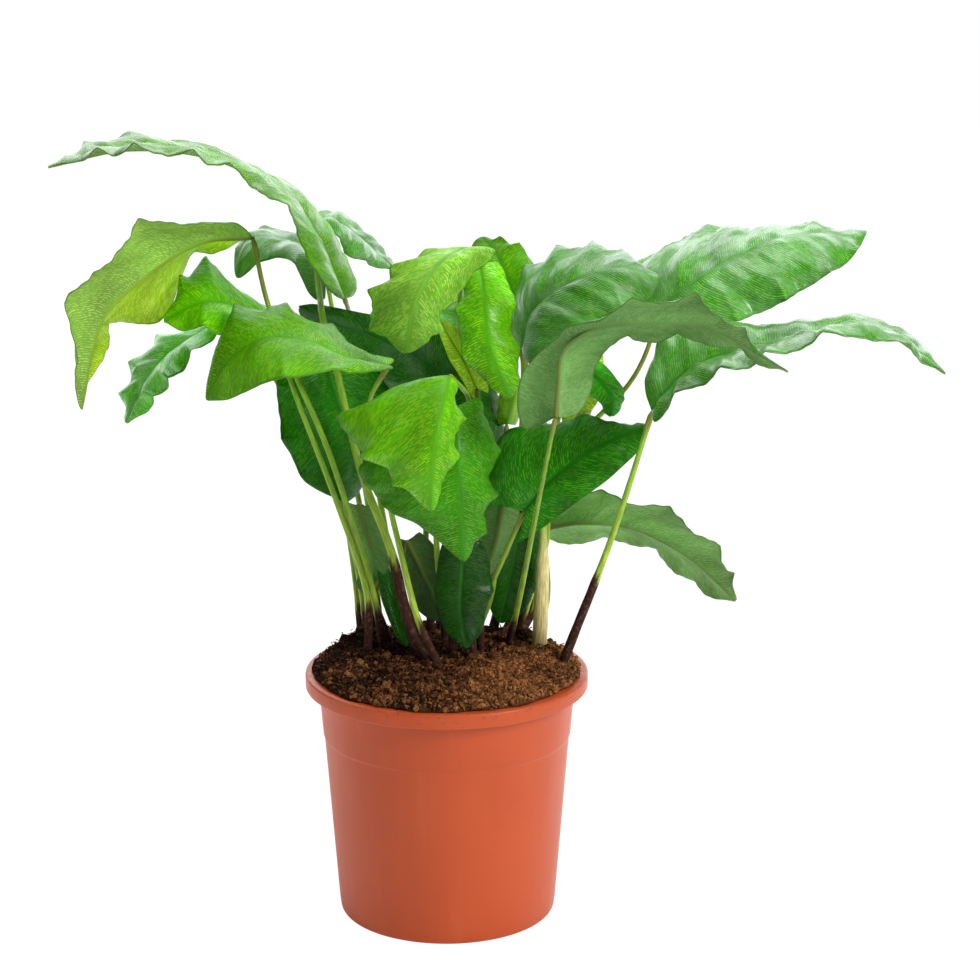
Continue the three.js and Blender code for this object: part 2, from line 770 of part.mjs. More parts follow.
function meshFrom(solid, name, colour, roughness) {
  const m = solid.getMesh();
  const geometry = new THREE.BufferGeometry();
  const positions = new Float32Array(m.numVert * 3);
  for (let i = 0; i < m.numVert; i++) {
    positions.set(m.vertProperties.subarray(i * m.numProp, i * m.numProp + 3), i * 3);
  }
  geometry.setAttribute("position", new THREE.BufferAttribute(positions, 3));
  geometry.setIndex(new THREE.BufferAttribute(new Uint32Array(m.triVerts), 1));
  geometry.computeVertexNormals();
  const material = new THREE.MeshStandardMaterial({ color: colour, roughness, flatShading: true });
  const mesh = new THREE.Mesh(geometry, material);
  mesh.name = name;
  return mesh;
}

// A thin closed shell either side of the blade's middle surface, split alike on both faces.
function blade(leaf) {
  const surface = bladeSurface(leaf);
  const stations = stationsOf(leaf);
  const half = leaf.wave > 2.2 ? ACROSS : ACROSS_SMALL;
  const across = [...half.slice(1).reverse().map((s) => -s), ...half];
  const rows = stations.map((t) => across.map((s) => surface(t, s)));
  const wide = across.length;
  const high = stations.length;
  const upper = [];
  const lower = [];
  for (let i = 0; i < high; i++) {
    for (let j = 0; j < wide; j++) {
      const a = rows[Math.min(i + 1, high - 1)][j];
      const b = rows[Math.max(i - 1, 0)][j];
      const c = rows[i][Math.min(j + 1, wide - 1)];
      const d = rows[i][Math.max(j - 1, 0)];
      const normal = new THREE.Vector3()
        .crossVectors(c.clone().sub(d), a.clone().sub(b))
        .normalize()
        .multiplyScalar(BLADE_THICKNESS / 2);
      upper.push(rows[i][j].clone().add(normal));
      lower.push(rows[i][j].clone().sub(normal));
    }
  }
  const points = [...upper, ...lower];
  const under = upper.length;
  const triangles = [];
  const id = (i, j) => i * wide + j;
  for (let i = 0; i < high - 1; i++) {
    for (let j = 0; j < wide - 1; j++) {
      const [a, b, c, d] = [id(i, j), id(i, j + 1), id(i + 1, j + 1), id(i + 1, j)];
      const cuts = j < wide / 2 - 0.5 ? [[a, b, c], [a, c, d]] : [[a, b, d], [b, c, d]];
      for (const [p, q, r] of cuts) {
        triangles.push([p, q, r], [under + p, under + r, under + q]);
      }
    }
  }
  const rim = [];
  for (let j = 0; j < wide; j++) rim.push(id(0, j));
  for (let i = 1; i < high; i++) rim.push(id(i, wide - 1));
  for (let j = wide - 2; j >= 0; j--) rim.push(id(high - 1, j));
  for (let i = high - 2; i > 0; i--) rim.push(id(i, 0));
  rim.forEach((a, k) => {
    const b = rim[(k + 1) % rim.length];
    triangles.push([a, under + a, under + b], [a, under + b, b]);
  });
  return solidFrom(points, triangles);
}

// A stem or a stick along a curve, with a radius that may change on the way.
function rod(curve, count, radiusAt, sides) {
  const points = [];
  const triangles = [];
  let side = new THREE.Vector3(1, 0, 0);
  for (let i = 0; i <= count; i++) {
    const t = i / count;
    const way = curve(Math.min(1, t + 0.02)).sub(curve(Math.max(0, t - 0.02))).normalize();
    side = side.clone().addScaledVector(way, -side.dot(way)).normalize();
    const other = new THREE.Vector3().crossVectors(way, side);
    for (let k = 0; k < sides; k++) {
      const turn = (2 * Math.PI * k) / sides;
      points.push(
        curve(t)
          .addScaledVector(side, radiusAt(t) * Math.cos(turn))
          .addScaledVector(other, radiusAt(t) * Math.sin(turn)),
      );
    }
  }
  for (let i = 0; i < count; i++) {
    for (let k = 0; k < sides; k++) {
      const a = i * sides + k;
      const b = i * sides + ((k + 1) % sides);
      triangles.push([a, b, b + sides], [a, b + sides, a + sides]);
    }
  }
  const top = count * sides;
  for (let k = 1; k < sides - 1; k++) {
    triangles.push([0, k + 1, k], [top, top + k, top + k + 1]);
  }
  return solidFrom(points, triangles);
}

// The stem's line: straight down into the soil, and up to just under the base of the blade.
function stemPoints(leaf) {
  const first = vec(leaf.stem[0]);
  const second = vec(leaf.stem[1]);
  const down = first.clone().sub(second).normalize();
  const foot = first.clone().addScaledVector(down, STEM_DEPTH);
  const base = bladeSurface(leaf);
  const way = base(0.03, 0).sub(base(0, 0));
  const under = new THREE.Vector3().crossVectors(way, base(0, 1).sub(base(0, -1))).normalize();
  const drop = BLADE_THICKNESS / 2 + STEM_TIP_GAP + leaf.stemRadius * STEM_TIP_SHARE;
  const end = base(0, 0).addScaledVector(under, leaf.one ? 0 : drop);
  const between = leaf.stem.slice(1, -1);
  return { foot, first, end, all: [foot.toArray(), leaf.stem[0], ...between, end.toArray()] };
}

function stem(leaf) {
  const { all } = stemPoints(leaf);
  const sections = Math.max(4, Math.round((all.length - 1) * 1.3));
  const radiusAt = (t) => {
    const tip = t > 0.999 ? STEM_TIP_SHARE : 1;
    return leaf.stemRadius * (STEM_FOOT_FLARE - STEM_TAPER * t) * tip;
  };
  return rod(curveThrough(all), sections, radiusAt, STEM_SIDES);
}

// The hole a stem stands in: wide enough for the stem wherever it runs inside the soil.
function stemHole(leaf) {
  const { all } = stemPoints(leaf);
  const line = curveThrough(all);
  const start = line(0);
  const way = start.clone().sub(line(0.02)).normalize();
  const length = curveLength(all);
  const share = Math.min(0.6, 60 / length);
  const wide = leaf.stemRadius * STEM_FOOT_FLARE + CLEARANCE + 0.5;
  const route = (t) =>
    t < 0.001 ? start.clone().addScaledVector(way, CLEARANCE) : line(t * share);
  return rod(route, 3, () => wide, 8);
}

function curveLength(points) {
  let sum = 0;
  for (let i = 1; i < points.length; i++) sum += vec(points[i]).distanceTo(vec(points[i - 1]));
  return sum;
}

// A body turned about the Z axis from a closed outline of [radius, height] pairs.
function turned(profile, segments) {
  const points = [];
  const triangles = [];
  const rings = profile.map(([r, z]) => {
    const first = points.length;
    if (r < 1e-6) {
      points.push(new THREE.Vector3(0, 0, z));
      return Array(segments).fill(first);
    }
    for (let k = 0; k < segments; k++) {
      const turn = (2 * Math.PI * k) / segments;
      points.push(new THREE.Vector3(r * Math.cos(turn), r * Math.sin(turn), z));
    }
    return Array.from({ length: segments }, (_, k) => first + k);
  });
  for (let i = 0; i < rings.length - 1; i++) {
    for (let k = 0; k < segments; k++) {
      const [a, b] = [rings[i][k], rings[i][(k + 1) % segments]];
      const [d, c] = [rings[i + 1][k], rings[i + 1][(k + 1) % segments]];
      if (a !== b) triangles.push([a, b, c]);
      if (d !== c) triangles.push([a, c, d]);
    }
  }
  return solidFrom(points, triangles);
}

function wallRadius(z) {
  const share = Math.max(0, z - FOOT_BEVEL) / (POT_HEIGHT - RIM_DEPTH - 12 - FOOT_BEVEL);
  return FOOT_RADIUS + (SHOULDER_RADIUS - FOOT_RADIUS) * Math.min(1, share);
}

function pot() {
  const lip = POT_HEIGHT - RIM_DEPTH;
  const inside = (z) => wallRadius(z) - WALL;
  const profile = [
    [0, 0],
    [FOOT_RADIUS - FOOT_BEVEL, 0],
    [FOOT_RADIUS - 1, FOOT_BEVEL * 0.55],
    [wallRadius(FOOT_BEVEL + 3), FOOT_BEVEL + 3],
    [wallRadius(STEP_HEIGHT), STEP_HEIGHT],
    [wallRadius(STEP_HEIGHT) + STEP_SIZE, STEP_HEIGHT + 1.5],
    [wallRadius(lip - 12) + STEP_SIZE, lip - 12],
    [NECK_RADIUS, lip - 2],
    [NECK_RADIUS + 1.2, lip],
    [RIM_RADIUS - 0.8, lip],
    [RIM_RADIUS, lip + 1.2],
    [RIM_RADIUS, POT_HEIGHT - 1.5],
    [RIM_RADIUS - 1.4, POT_HEIGHT],
    [RIM_INNER_RADIUS + 1, POT_HEIGHT],
    [RIM_INNER_RADIUS, POT_HEIGHT - 1],
    [RIM_INNER_RADIUS - 0.4, lip],
    [inside(lip - 12), lip - 12],
    [inside(FOOT_BEVEL + 3), FOOT_BEVEL + 3],
    [FOOT_RADIUS - FOOT_BEVEL, FLOOR],
    [0, FLOOR],
  ];
  let body = turned(profile, POT_SEGMENTS);
  for (let i = 0; i < DRAIN_COUNT; i++) {
    const turn = (2 * Math.PI * (i + 0.5)) / DRAIN_COUNT;
    const x = DRAIN_CIRCLE * Math.cos(turn);
    const y = DRAIN_CIRCLE * Math.sin(turn);
    const route = (t) => new THREE.Vector3(x, y, -1 + t * (FLOOR + 2));
    body = body.subtract(rod(route, 1, () => DRAIN_RADIUS, 12));
  }
  return body;
}

// The soil's surface: a heap that spills onto the rim, with clumps and low lumps.
function soilTop(x, y) {
  const r = Math.hypot(x, y) / SOIL_SPILL_RADIUS;
  let heap = SOIL_HEAP * (1 - r ** 2.4);
  for (const clump of SOIL_CLUMPS) {
    const far = Math.hypot(x - clump.x, y - clump.y) / clump.width;
    heap += clump.height * Math.exp(-far * far) * Math.max(0, 1 - r ** 6);
  }
  const lumps =
    1.5 * Math.sin(x * 0.13 + 1) * Math.cos(y * 0.11) +
    1.1 * Math.sin(x * 0.27 - y * 0.21) +
    0.9 * Math.cos(x * 0.19 + y * 0.33 + 2);
  return SOIL_EDGE_HEIGHT + heap + lumps * Math.min(1, 2.4 - 2 * r);
}

function soil() {
  const points = [];
  const triangles = [];
  const lip = POT_HEIGHT - RIM_DEPTH;
  const edge = RIM_INNER_RADIUS - 0.4 - CLEARANCE - 0.4;
  points.push(new THREE.Vector3(0, 0, soilTop(0, 0)));
  const ring = (radius, height) => {
    const first = points.length;
    for (let k = 0; k < SOIL_SEGMENTS; k++) {
      const turn = (2 * Math.PI * k) / SOIL_SEGMENTS;
      const x = radius * Math.cos(turn);
      const y = radius * Math.sin(turn);
      points.push(new THREE.Vector3(x, y, height ?? soilTop(x, y)));
    }
    return first;
  };
  const rings = SOIL_RINGS.map((share) => ring(SOIL_SPILL_RADIUS * share));
  rings.push(ring(SOIL_SPILL_RADIUS - 0.4, POT_HEIGHT + CLEARANCE));
  rings.push(ring(edge, POT_HEIGHT + CLEARANCE));
  rings.push(ring(edge, lip));
  rings.push(ring(wallRadius(lip - 12) - WALL - CLEARANCE - 0.3, lip - 12));
  rings.push(ring(wallRadius(FOOT_BEVEL + 3) - WALL - CLEARANCE - 0.3, FOOT_BEVEL + 3));
  rings.push(ring(FOOT_RADIUS - FOOT_BEVEL - 1, FLOOR + CLEARANCE));
  const next = (k) => (k + 1) % SOIL_SEGMENTS;
  for (let k = 0; k < SOIL_SEGMENTS; k++) {
    triangles.push([0, rings[0] + k, rings[0] + next(k)]);
    for (let i = 0; i < rings.length - 1; i++) {
      const [a, b] = [rings[i] + k, rings[i] + next(k)];
      const [c, d] = [rings[i + 1] + next(k), rings[i + 1] + k];
      triangles.push([a, d, c], [a, c, b]);
    }
  }
  const base = rings[rings.length - 1];
  for (let k = 1; k < SOIL_SEGMENTS - 1; k++) {
    triangles.push([base, base + k + 1, base + k]);
  }
  let body = solidFrom(points, triangles);
  for (const leaf of LEAVES) body = body.subtract(stemHole(leaf));
  return body;
}

const plant = new THREE.Group();
plant.name = "potted_calathea";
plant.add(meshFrom(pot(), "pot", POT_COLOUR, 0.45));
plant.add(meshFrom(soil(), "soil", SOIL_COLOUR, 1));
for (const leaf of LEAVES) {
  if (leaf.one) {
    const whole = blade(leaf).add(stem(leaf));
    plant.add(meshFrom(whole, leaf.name + "_leaf", COLOURS[leaf.tone], 0.4));
  } else {
    plant.add(meshFrom(blade(leaf), leaf.name + "_blade", COLOURS[leaf.tone], 0.4));
    plant.add(meshFrom(stem(leaf), leaf.name + "_stem", STEM_COLOUR, 0.5));
  }
}

export default plant;
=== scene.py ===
import math

import bpy
import numpy as np
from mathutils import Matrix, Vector


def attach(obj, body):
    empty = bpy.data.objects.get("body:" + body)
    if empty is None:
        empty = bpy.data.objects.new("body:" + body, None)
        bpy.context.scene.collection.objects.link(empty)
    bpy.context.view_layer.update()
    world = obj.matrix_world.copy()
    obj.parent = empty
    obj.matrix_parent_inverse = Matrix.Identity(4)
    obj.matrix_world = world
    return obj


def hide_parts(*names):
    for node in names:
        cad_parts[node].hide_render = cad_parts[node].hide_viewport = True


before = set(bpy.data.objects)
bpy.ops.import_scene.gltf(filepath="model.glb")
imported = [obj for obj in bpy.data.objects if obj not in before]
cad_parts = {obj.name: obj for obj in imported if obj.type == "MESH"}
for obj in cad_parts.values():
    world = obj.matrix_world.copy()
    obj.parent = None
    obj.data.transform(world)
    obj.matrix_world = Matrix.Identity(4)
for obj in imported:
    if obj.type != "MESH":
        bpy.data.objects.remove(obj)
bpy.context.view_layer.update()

# A potted calathea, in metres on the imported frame: the pot's axis is Z, its underside is on z = 0 and the
# plant's front looks towards -Y. Points and sizes of the plant, the soil and the pot are in millimetres, as
# in the solid model, and are scaled once, when their mesh is made.
MM = 0.001
FULL_TURN = 2 * math.pi

# ---------------------------------------------------------------------------------------------- colours


def linear(hex_colour):
    """A #rrggbb colour as linear red, green, blue."""
    out = []
    for i in (1, 3, 5):
        v = int(hex_colour[i : i + 2], 16) / 255
        out.append(v / 12.92 if v <= 0.04045 else ((v + 0.055) / 1.055) ** 2.4)
    return np.array(out)


def paint(hex_colour):
    """A #rrggbb colour for a socket, with full alpha."""
    return (*linear(hex_colour), 1)


# Ground and dash colours of the two faces of a blade, by the leaf's tone: bright, mid and deep are partly
# painted light and shade.
TONES = {
    "bright": {"upper": "#56a403", "dash": "#a8d824", "under": "#82b33c", "under_dash": "#bcd46c"},
    "mid": {"upper": "#40950c", "dash": "#86c43c", "under": "#78a456", "under_dash": "#a8c680"},
    "olive": {"upper": "#6ca42e", "dash": "#bfe060", "under": "#84b048", "under_dash": "#cce07c"},
    "deep": {"upper": "#207204", "dash": "#62a62c", "under": "#508440", "under_dash": "#86a86c"},
    "grey": {"upper": "#2f861c", "dash": "#8fbe48", "under": "#6c9a50", "under_dash": "#96b878"},
}
UNDER_RIB = "#7c7e3c"  # the midrib under a leaf
PAINTED_GLOW_GROUND, PAINTED_GLOW_DASH = "#9fc416", "#e3ee86"  # painted glow of a half that light shines through
# the second colour here is a painted sheen, the pale bluish reflection on a waxy upper face
MARGIN_LINE, PAINTED_SHEEN_COLOUR = "#56663c", "#a4b8ab"
STALK_GREEN, STALK_YELLOW, STALK_BROWN, STALK_OLIVE = "#7aa626", "#b4c24a", "#371a0f", "#74702a"
PALE_SHEATH, PALE_FOOT = "#d6c887", "#8a5a3a"
POT_DEEP, POT_WARM, POT_STREAK, POT_DUST = "#ad451c", "#b54a20", "#c9633a", "#5a3524"

# --------------------------------------------------------------------------------------------- the leaves

USUAL_LOOK = {
    "one": False,  # a small leaf is one node with its stalk
    "shade": 1.0,  # lighter or darker than its tone: partly its own green, partly painted light and shade for where it stands
    "wax": 0.22,  # the upper face, from a dull skin to a sheen that mirrors the room, and how much painted sheen greys its green
    "thin": (0, 0),  # how much painted glow of light shining through the left and the right half
    "turned": False,  # the points run the other way round, so that the second face is the upper one
    "dry": 20,  # how far up from the soil the dry brown sheath reaches
    "brown": 13,  # how far down from the blade the stalk stays brownish
    "pale": False,  # a stout pale foot
}
LEAVES = []


def add_leaf(name, tone, stem, rib, left, right, crests, wave, lobes=(6, 6), radius=1.65, arch=0.08, **look):
    """One leaf: the points of its stalk and midrib, the reach of its left and right halves at three places
    along the midrib, where the crests of each margin stand and how high they are, how far each half's lobe
    hangs back over the stalk, the stalk's radius, how the halves bulge, and what is unusual in its look."""
    row = {"name": name, "tone": tone, "stem": stem, "rib": rib, "left": left, "right": right}
    row |= {"crests": crests, "wave": wave, "lobes": lobes, "radius": radius, "arch": arch}
    LEAVES.append(USUAL_LOOK | look | row)


add_leaf(
    "long_left", "bright",
    stem=[[-26, 42, 158], [-35, 58, 203], [-49, 74, 282], [-59, 68, 343], [-59, 54, 360]],
    rib=[
        [-60, 25, 374], [-74, 8, 414], [-92, -2, 440], [-132, -10, 463], [-180, -15, 469],
        [-226, -20, 460],
    ],
    left=[[-8, -40, 6], [2, -37, 4], [8, -54, 10]], right=[[11, 48, -8], [-5, 49, -5], [-14, 68, 1]],
    crests=([0.32, 0.53, 0.63, 0.78, 0.87], [0.41, 0.56, 0.77, 0.89, 0.95]), wave=3.2, shade=0.8, wax=0.75,
    brown=40,
)
add_leaf(
    "behind_left_top", "mid",
    stem=[
        [-10, -8, 160], [-21, -6, 177], [-33, 4, 225], [-48, 10, 264], [-56, 12, 294], [-66, 16, 339],
        [-72, 12, 364], [-75, 34, 375], [-77, 48, 385],
    ],
    rib=[[-77, 56, 396], [-75, 62, 409], [-65, 74, 410], [-51, 92, 396], [-33, 110, 374]],
    left=[[-3, 22, 8], [-2, 39, -3], [5, 52, -8]], right=[[-8, -14, 11], [-6, -25, -4], [-8, -37, -2]],
    crests=([0.12, 0.5], [0.1, 0.45, 0.75]), wave=2.6, radius=2.2, shade=0.85, wax=0.9, dry=66,
)
add_leaf(
    "left_rear_fold", "mid",
    stem=[[-42, 50, 158], [-48, 68, 226], [-60, 72, 301], [-71, 78, 362]],
    rib=[[-74, 78, 382], [-88, 82, 395], [-104, 84, 399], [-117, 84, 399], [-128, 78, 393]],
    left=[[0, -35, -19], [-3, -22, -6], [-10, -39, -30]], right=[[5, 36, -2], [-6, 37, -2], [-9, 33, 0]],
    crests=([0.35, 0.65], [0.3, 0.6]), wave=2.5, shade=0.85, wax=1.0,
)
add_leaf(
    "left_small_bright", "bright",
    stem=[[-48, 8, 158], [-48, 4, 199], [-64, -6, 256], [-88, -8, 324], [-98, 4, 354]],
    rib=[[-101, 15, 363], [-118, 8, 371], [-140, -5, 378], [-163, -12, 369]],
    left=[[3, -23, -4], [3, -29, -11], [0, -22, -13]], right=[[-4, 28, 7], [-9, 31, 18], [-9, 34, 17]],
    crests=([0.35, 0.65], [0.55, 0.78]), wave=4, shade=1.3, wax=0.12, dry=34,
)
add_leaf(
    "left_low_grey", "mid",
    stem=[[-48, 34, 158], [-56, 48, 206], [-68, 50, 247], [-89, 56, 292], [-118, 52, 340]],
    rib=[[-136, 40, 357], [-159, 32, 344], [-176, 26, 328], [-190, 18, 300]],
    left=[[8, -23, 0], [12, -37, 0], [17, -33, 3]], right=[[-11, 29, -2], [-15, 35, -2], [-19, 38, -7]],
    crests=([0.3, 0.55, 0.75], [0.35, 0.6, 0.8]), wave=3, shade=1.5, wax=0.6,
)
add_leaf(
    "left_front_bright", "bright",
    stem=[
        [-4, -20, 160], [-17, -18, 190], [-29, -15, 240], [-34, -14, 263], [-41, -14, 298],
        [-44, -18, 322],
    ],
    rib=[
        [-33, -25, 345], [-57, -38, 353], [-79, -48, 365], [-103, -58, 368], [-122, -62, 356],
        [-135, -64, 335],
    ],
    left=[[2, -29, -1], [3, -41, -14], [10, -36, -23]], right=[[8, 37, -2], [2, 55, 3], [-8, 56, 24]],
    crests=([0.3, 0.55], [0.38, 0.55, 0.74]), wave=2.8, lobes=(12, 6), shade=0.86, wax=0.08, dry=30,
)
add_leaf(
    "left_hanging_dark", "deep",
    stem=[[-46, 40, 158], [-48, 56, 204], [-61, 62, 272], [-72, 52, 312]],
    rib=[[-74, 38, 333], [-65, 37, 303], [-57, 36, 276], [-61, 28, 249]],
    left=[[38, 19, 2], [25, 26, -4], [15, 47, -22]],
    right=[[-33, -14, 16], [-40, -23, 12], [-48, -42, 10]],
    crests=([0.4, 0.7], [0.3, 0.6, 0.85]), wave=2, shade=1.05,
)
add_leaf(
    "centre_front_bright", "bright",
    stem=[[4, -2, 160], [3, 2, 195], [7, -6, 247], [13, -10, 291], [14, -20, 323]],
    rib=[[3, -62, 348], [-1, -88, 334], [-6, -100, 308], [-7, -96, 278]],
    left=[[9, 15, -10], [13, 25, -7], [14, 19, -3]], right=[[-67, 23, -22], [-44, 19, -16], [-32, 16, -6]],
    crests=([0.35, 0.65], [0.2, 0.55, 0.8]), wave=3, shade=1.16, wax=0.3,
)
add_leaf(
    "centre_dark_below", "mid",
    stem=[[-1, 16, 160], [-2, 14, 182], [-6, 4, 234], [-3, -10, 279]],
    rib=[[6, -40, 324], [7, -54, 302], [9, -62, 272], [11, -62, 238]],
    left=[[24, 26, 2], [21, 23, -3], [22, 21, 1]], right=[[-38, 28, -2], [-59, 21, -4], [-51, 14, 7]],
    crests=([0.35, 0.6, 0.85], [0.4, 0.75]), wave=3, shade=0.88,
)
add_leaf(
    "centre_gloss", "bright",
    stem=[[12, 46, 160], [22, 50, 231], [27, 42, 308], [26, 34, 371]],
    rib=[[20, 12, 398], [23, -4, 379], [26, -12, 354], [37, -12, 323]],
    left=[[19, 4, 0], [16, 11, -1], [21, 7, -4]], right=[[-14, 4, -2], [-18, 11, 1], [-23, 7, -2]],
    crests=([0.35, 0.62], [0.4, 0.7]), wave=2.6, shade=1.28, wax=0.4,
)
add_leaf(
    "upper_fold", "mid",
    stem=[[56, 24, 160], [58, 30, 218], [57, 30, 244], [53, 28, 293]],
    rib=[[45, 18, 345], [52, 8, 371], [72, -4, 389], [99, -4, 398], [124, 0, 393]],
    left=[[-9, 48, 11], [1, 60, 12], [-1, 75, 2]], right=[[13, -41, -13], [17, -36, -17], [16, -47, -27]],
    crests=([0.3, 0.46, 0.66, 0.82], [0.4, 0.7]), wave=2.6, radius=2.7, shade=0.9, wax=0.75, dry=0,
    pale=True,
)
add_leaf(
    "centre_shadow", "deep",
    stem=[[-10, 48, 160], [-13, 56, 229], [-2, 58, 292]],
    rib=[[3, 44, 315], [-25, 42, 339], [-58, 42, 353], [-88, 46, 364]],
    left=[[0, 15, -36], [-3, 25, -33], [-11, 18, -26]], right=[[13, -10, 23], [1, -6, 16], [-6, 2, 14]],
    crests=([0.5], [0.5]), wave=2, shade=0.8, wax=0.5,
)
add_leaf(
    "low_left_grey", "grey",
    stem=[[-28, 55, 158], [-39, 54, 179], [-42, 50, 206], [-50, 40, 239]],
    rib=[[-54, 34, 245], [-49, 32, 227], [-45, 30, 210], [-47, 26, 191]],
    left=[[-9, -3, 0], [-9, -5, -3], [-14, -7, -6]], right=[[16, 6, -6], [13, 9, -7], [9, 9, -9]],
    crests=([0.5, 0.8], [0.6]), wave=2, radius=1.6, one=True,
)
add_leaf(
    "low_centre_dark", "deep",
    stem=[[16, -10, 160], [15, -6, 194], [14, -4, 219]],
    rib=[[10, -14, 234], [9, -15, 216], [8, -18, 194], [12, -24, 173]],
    left=[[19, 5, 2], [19, 6, 2], [21, 7, 1]], right=[[-16, 1, 6], [-15, 2, 4], [-20, 2, 3]],
    crests=([0.5], [0.5]), wave=1.2, radius=1.5, one=True, shade=0.32,
)
add_leaf(
    "low_right_grey", "grey",
    stem=[[14, 36, 158], [26, 27, 187], [31, 26, 222]],
    rib=[[34, 24, 251], [32, 20, 238], [29, 18, 223], [22, 18, 201]],
    left=[[-12, 1, 3], [-15, -2, 5], [-17, -3, 4]], right=[[12, 11, 1], [12, 10, 1], [13, 10, 2]],
    crests=([0.5], [0.5]), wave=1.5, radius=1.6, one=True, shade=0.75,
)
add_leaf(
    "left_drooping", "olive",
    stem=[[-38, 18, 158], [-45, 6, 202], [-64, -8, 274], [-75, -10, 306], [-87, -8, 334], [-103, -2, 375]],
    rib=[[-112, 0, 416], [-142, -10, 414], [-174, -20, 395], [-198, -25, 370], [-211, -25, 319]],
    left=[[-6, -38, 25], [-6, -37, 32], [-15, -37, 33]], right=[[-9, 40, -21], [6, 47, -29], [6, 50, 6]],
    crests=([0.36, 0.73], [0.18, 0.7]), wave=5.5, radius=1.7, shade=1.02, thin=(0.0, 0.95), dry=30,
    brown=48,
)
add_leaf(
    "yellow_backlit", "olive",
    stem=[[38, 64, 158], [55, 92, 193], [58, 90, 233], [73, 74, 282], [87, 58, 320]],
    rib=[[87, 44, 336], [82, 44, 317], [79, 42, 301], [75, 38, 281]],
    left=[[11, 2, -3], [10, 3, -1], [11, 0, 2]], right=[[-11, 2, 0], [-11, 3, 0], [-13, 3, 2]],
    crests=([0.5], [0.5]), wave=2, thin=(1.0, 1.0),
)
add_leaf(
    "young_backlit", "olive",
    stem=[[12, 12, 160], [16, 6, 219], [20, -8, 272], [20, -10, 303]],
    rib=[[18, 6, 324], [11, 8, 340], [4, 8, 352], [-3, 6, 364]],
    left=[[-2, -1, -10], [-6, 0, -4], [-7, -2, -1]], right=[[9, -5, 3], [2, -5, 10], [2, -7, 12]],
    crests=([0.5], [0.5]), wave=1, thin=(0.9, 0.9),
)
add_leaf(
    "low_centre_grey", "grey",
    stem=[[-17, 31, 158], [-22, 38, 184], [-25, 42, 207]],
    rib=[[-24, 40, 221], [-17, 36, 207], [-9, 34, 190], [-3, 33, 173]],
    left=[[-9, 3, -5], [-10, -1, -12], [-9, -1, -15]], right=[[16, -4, 6], [18, -3, -2], [17, -2, -8]],
    crests=([0.6], [0.5]), wave=1.5, radius=1.6, one=True, shade=0.45,
)
add_leaf(
    "low_left_narrow", "deep",
    stem=[[-34, 25, 158], [-43, 24, 188], [-42, 25, 198]],
    rib=[[-38, 22, 205], [-34, 17, 193], [-29, 12, 179], [-24, 4, 165]],
    left=[[5, 6, 2], [4, 6, 2], [5, 6, 3]], right=[[-6, -1, 1], [-6, -2, 0], [-6, -4, -1]],
    crests=([0.5], [0.5]), wave=1, radius=1.4, one=True, shade=0.7,
)
add_leaf(
    "centre_behind_dark", "deep",
    stem=[[10, 62, 160], [19, 66, 201], [19, 60, 254], [19, 48, 301]],
    rib=[[20, 24, 329], [21, 18, 309], [21, 14, 288], [17, 12, 263]],
    left=[[13, 25, -6], [12, 29, -8], [21, 38, -20]], right=[[-22, 2, 1], [-20, 1, 0], [-22, -2, -4]],
    crests=([0.5], [0.5]), wave=1.5, radius=1.6, one=True, shade=0.7,
)
add_leaf(
    "young_rolled", "olive",
    stem=[[20, 64, 160], [25, 64, 201], [34, 48, 257]],
    rib=[[36, 24, 298], [38, 18, 307], [40, 12, 317], [41, 6, 326]],
    left=[[-8, 11, -1], [-9, 13, -1], [-12, 17, -3]], right=[[9, 9, 0], [7, 9, -1], [8, 10, -2]],
    crests=([0.5], [0.5]), wave=0.6, radius=1.5, one=True, thin=(0.3, 0.3),
)
add_leaf(
    "right_long", "mid",
    stem=[[71, 4, 158], [94, -18, 229], [106, -36, 274]],
    rib=[[119, -46, 323], [142, -40, 347], [186, -42, 362], [242, -38, 371], [289, -28, 341]],
    left=[[-16, 25, 19], [-15, 32, 1], [3, 64, -2]], right=[[-4, -41, -1], [-14, -42, 0], [-10, -61, 10]],
    crests=([0.16, 0.34, 0.93], [0.14, 0.3, 0.46, 0.62, 0.84]), wave=3.6, lobes=(7, 14), radius=1.9,
    shade=0.92, wax=1.0, dry=62,
)
add_leaf(
    "centre_light", "olive",
    stem=[[6, 26, 160], [7, 18, 215], [9, 34, 310], [8, 22, 374]],
    rib=[[12, -18, 413], [-2, -45, 410], [-16, -62, 392], [-22, -48, 358]],
    left=[[26, 27, -10], [16, 21, -15], [26, 24, -13]],
    right=[[-26, -3, -2], [-31, 16, -11], [-31, 24, -12]],
    crests=([0.5, 0.75], [0.12, 0.3, 0.48, 0.75]), wave=2.5, shade=1.22,
)
add_leaf(
    "top_rear", "bright",
    stem=[[28, 44, 158], [41, 58, 242], [46, 62, 303]],
    rib=[[45, 56, 348], [39, 66, 371], [31, 78, 388], [21, 98, 397]],
    left=[[-11, 5, -10], [-17, 7, -8], [-26, 14, -9]], right=[[16, -2, -7], [17, 1, 5], [20, -3, 7]],
    crests=([0.4, 0.7], [0.5, 0.72, 0.9]), wave=3,
)
add_leaf(
    "right_low_dark", "deep",
    stem=[[20, 10, 160], [22, -2, 192], [33, -6, 221]],
    rib=[[46, -6, 252], [65, -18, 277], [91, -24, 297], [118, -26, 309]],
    left=[[-31, 29, 24], [-7, 28, 20], [5, 21, 12]], right=[[12, -15, -11], [17, -17, -8], [14, -15, -13]],
    crests=([0.3, 0.6], [0.3, 0.65]), wave=2.5, lobes=(34, 30), radius=1.6, shade=1.3,
)
add_leaf(
    "right_large", "mid",
    stem=[[42, 44, 158], [60, 48, 216], [61, 45, 248], [79, 34, 286], [108, 30, 320], [120, 26, 345]],
    rib=[[122, 22, 363], [138, 16, 380], [160, 20, 394], [198, 38, 408], [251, 60, 408]],
    left=[[-24, 92, 6], [-18, 70, -3], [-14, 65, -8]],
    right=[[15, -14, -25], [14, -31, -28], [15, -47, -23]],
    crests=([0.08, 0.47, 0.82], [0.3, 0.52, 0.74, 0.9]), wave=4, lobes=(10, 10), wax=1.0, brown=62,
)
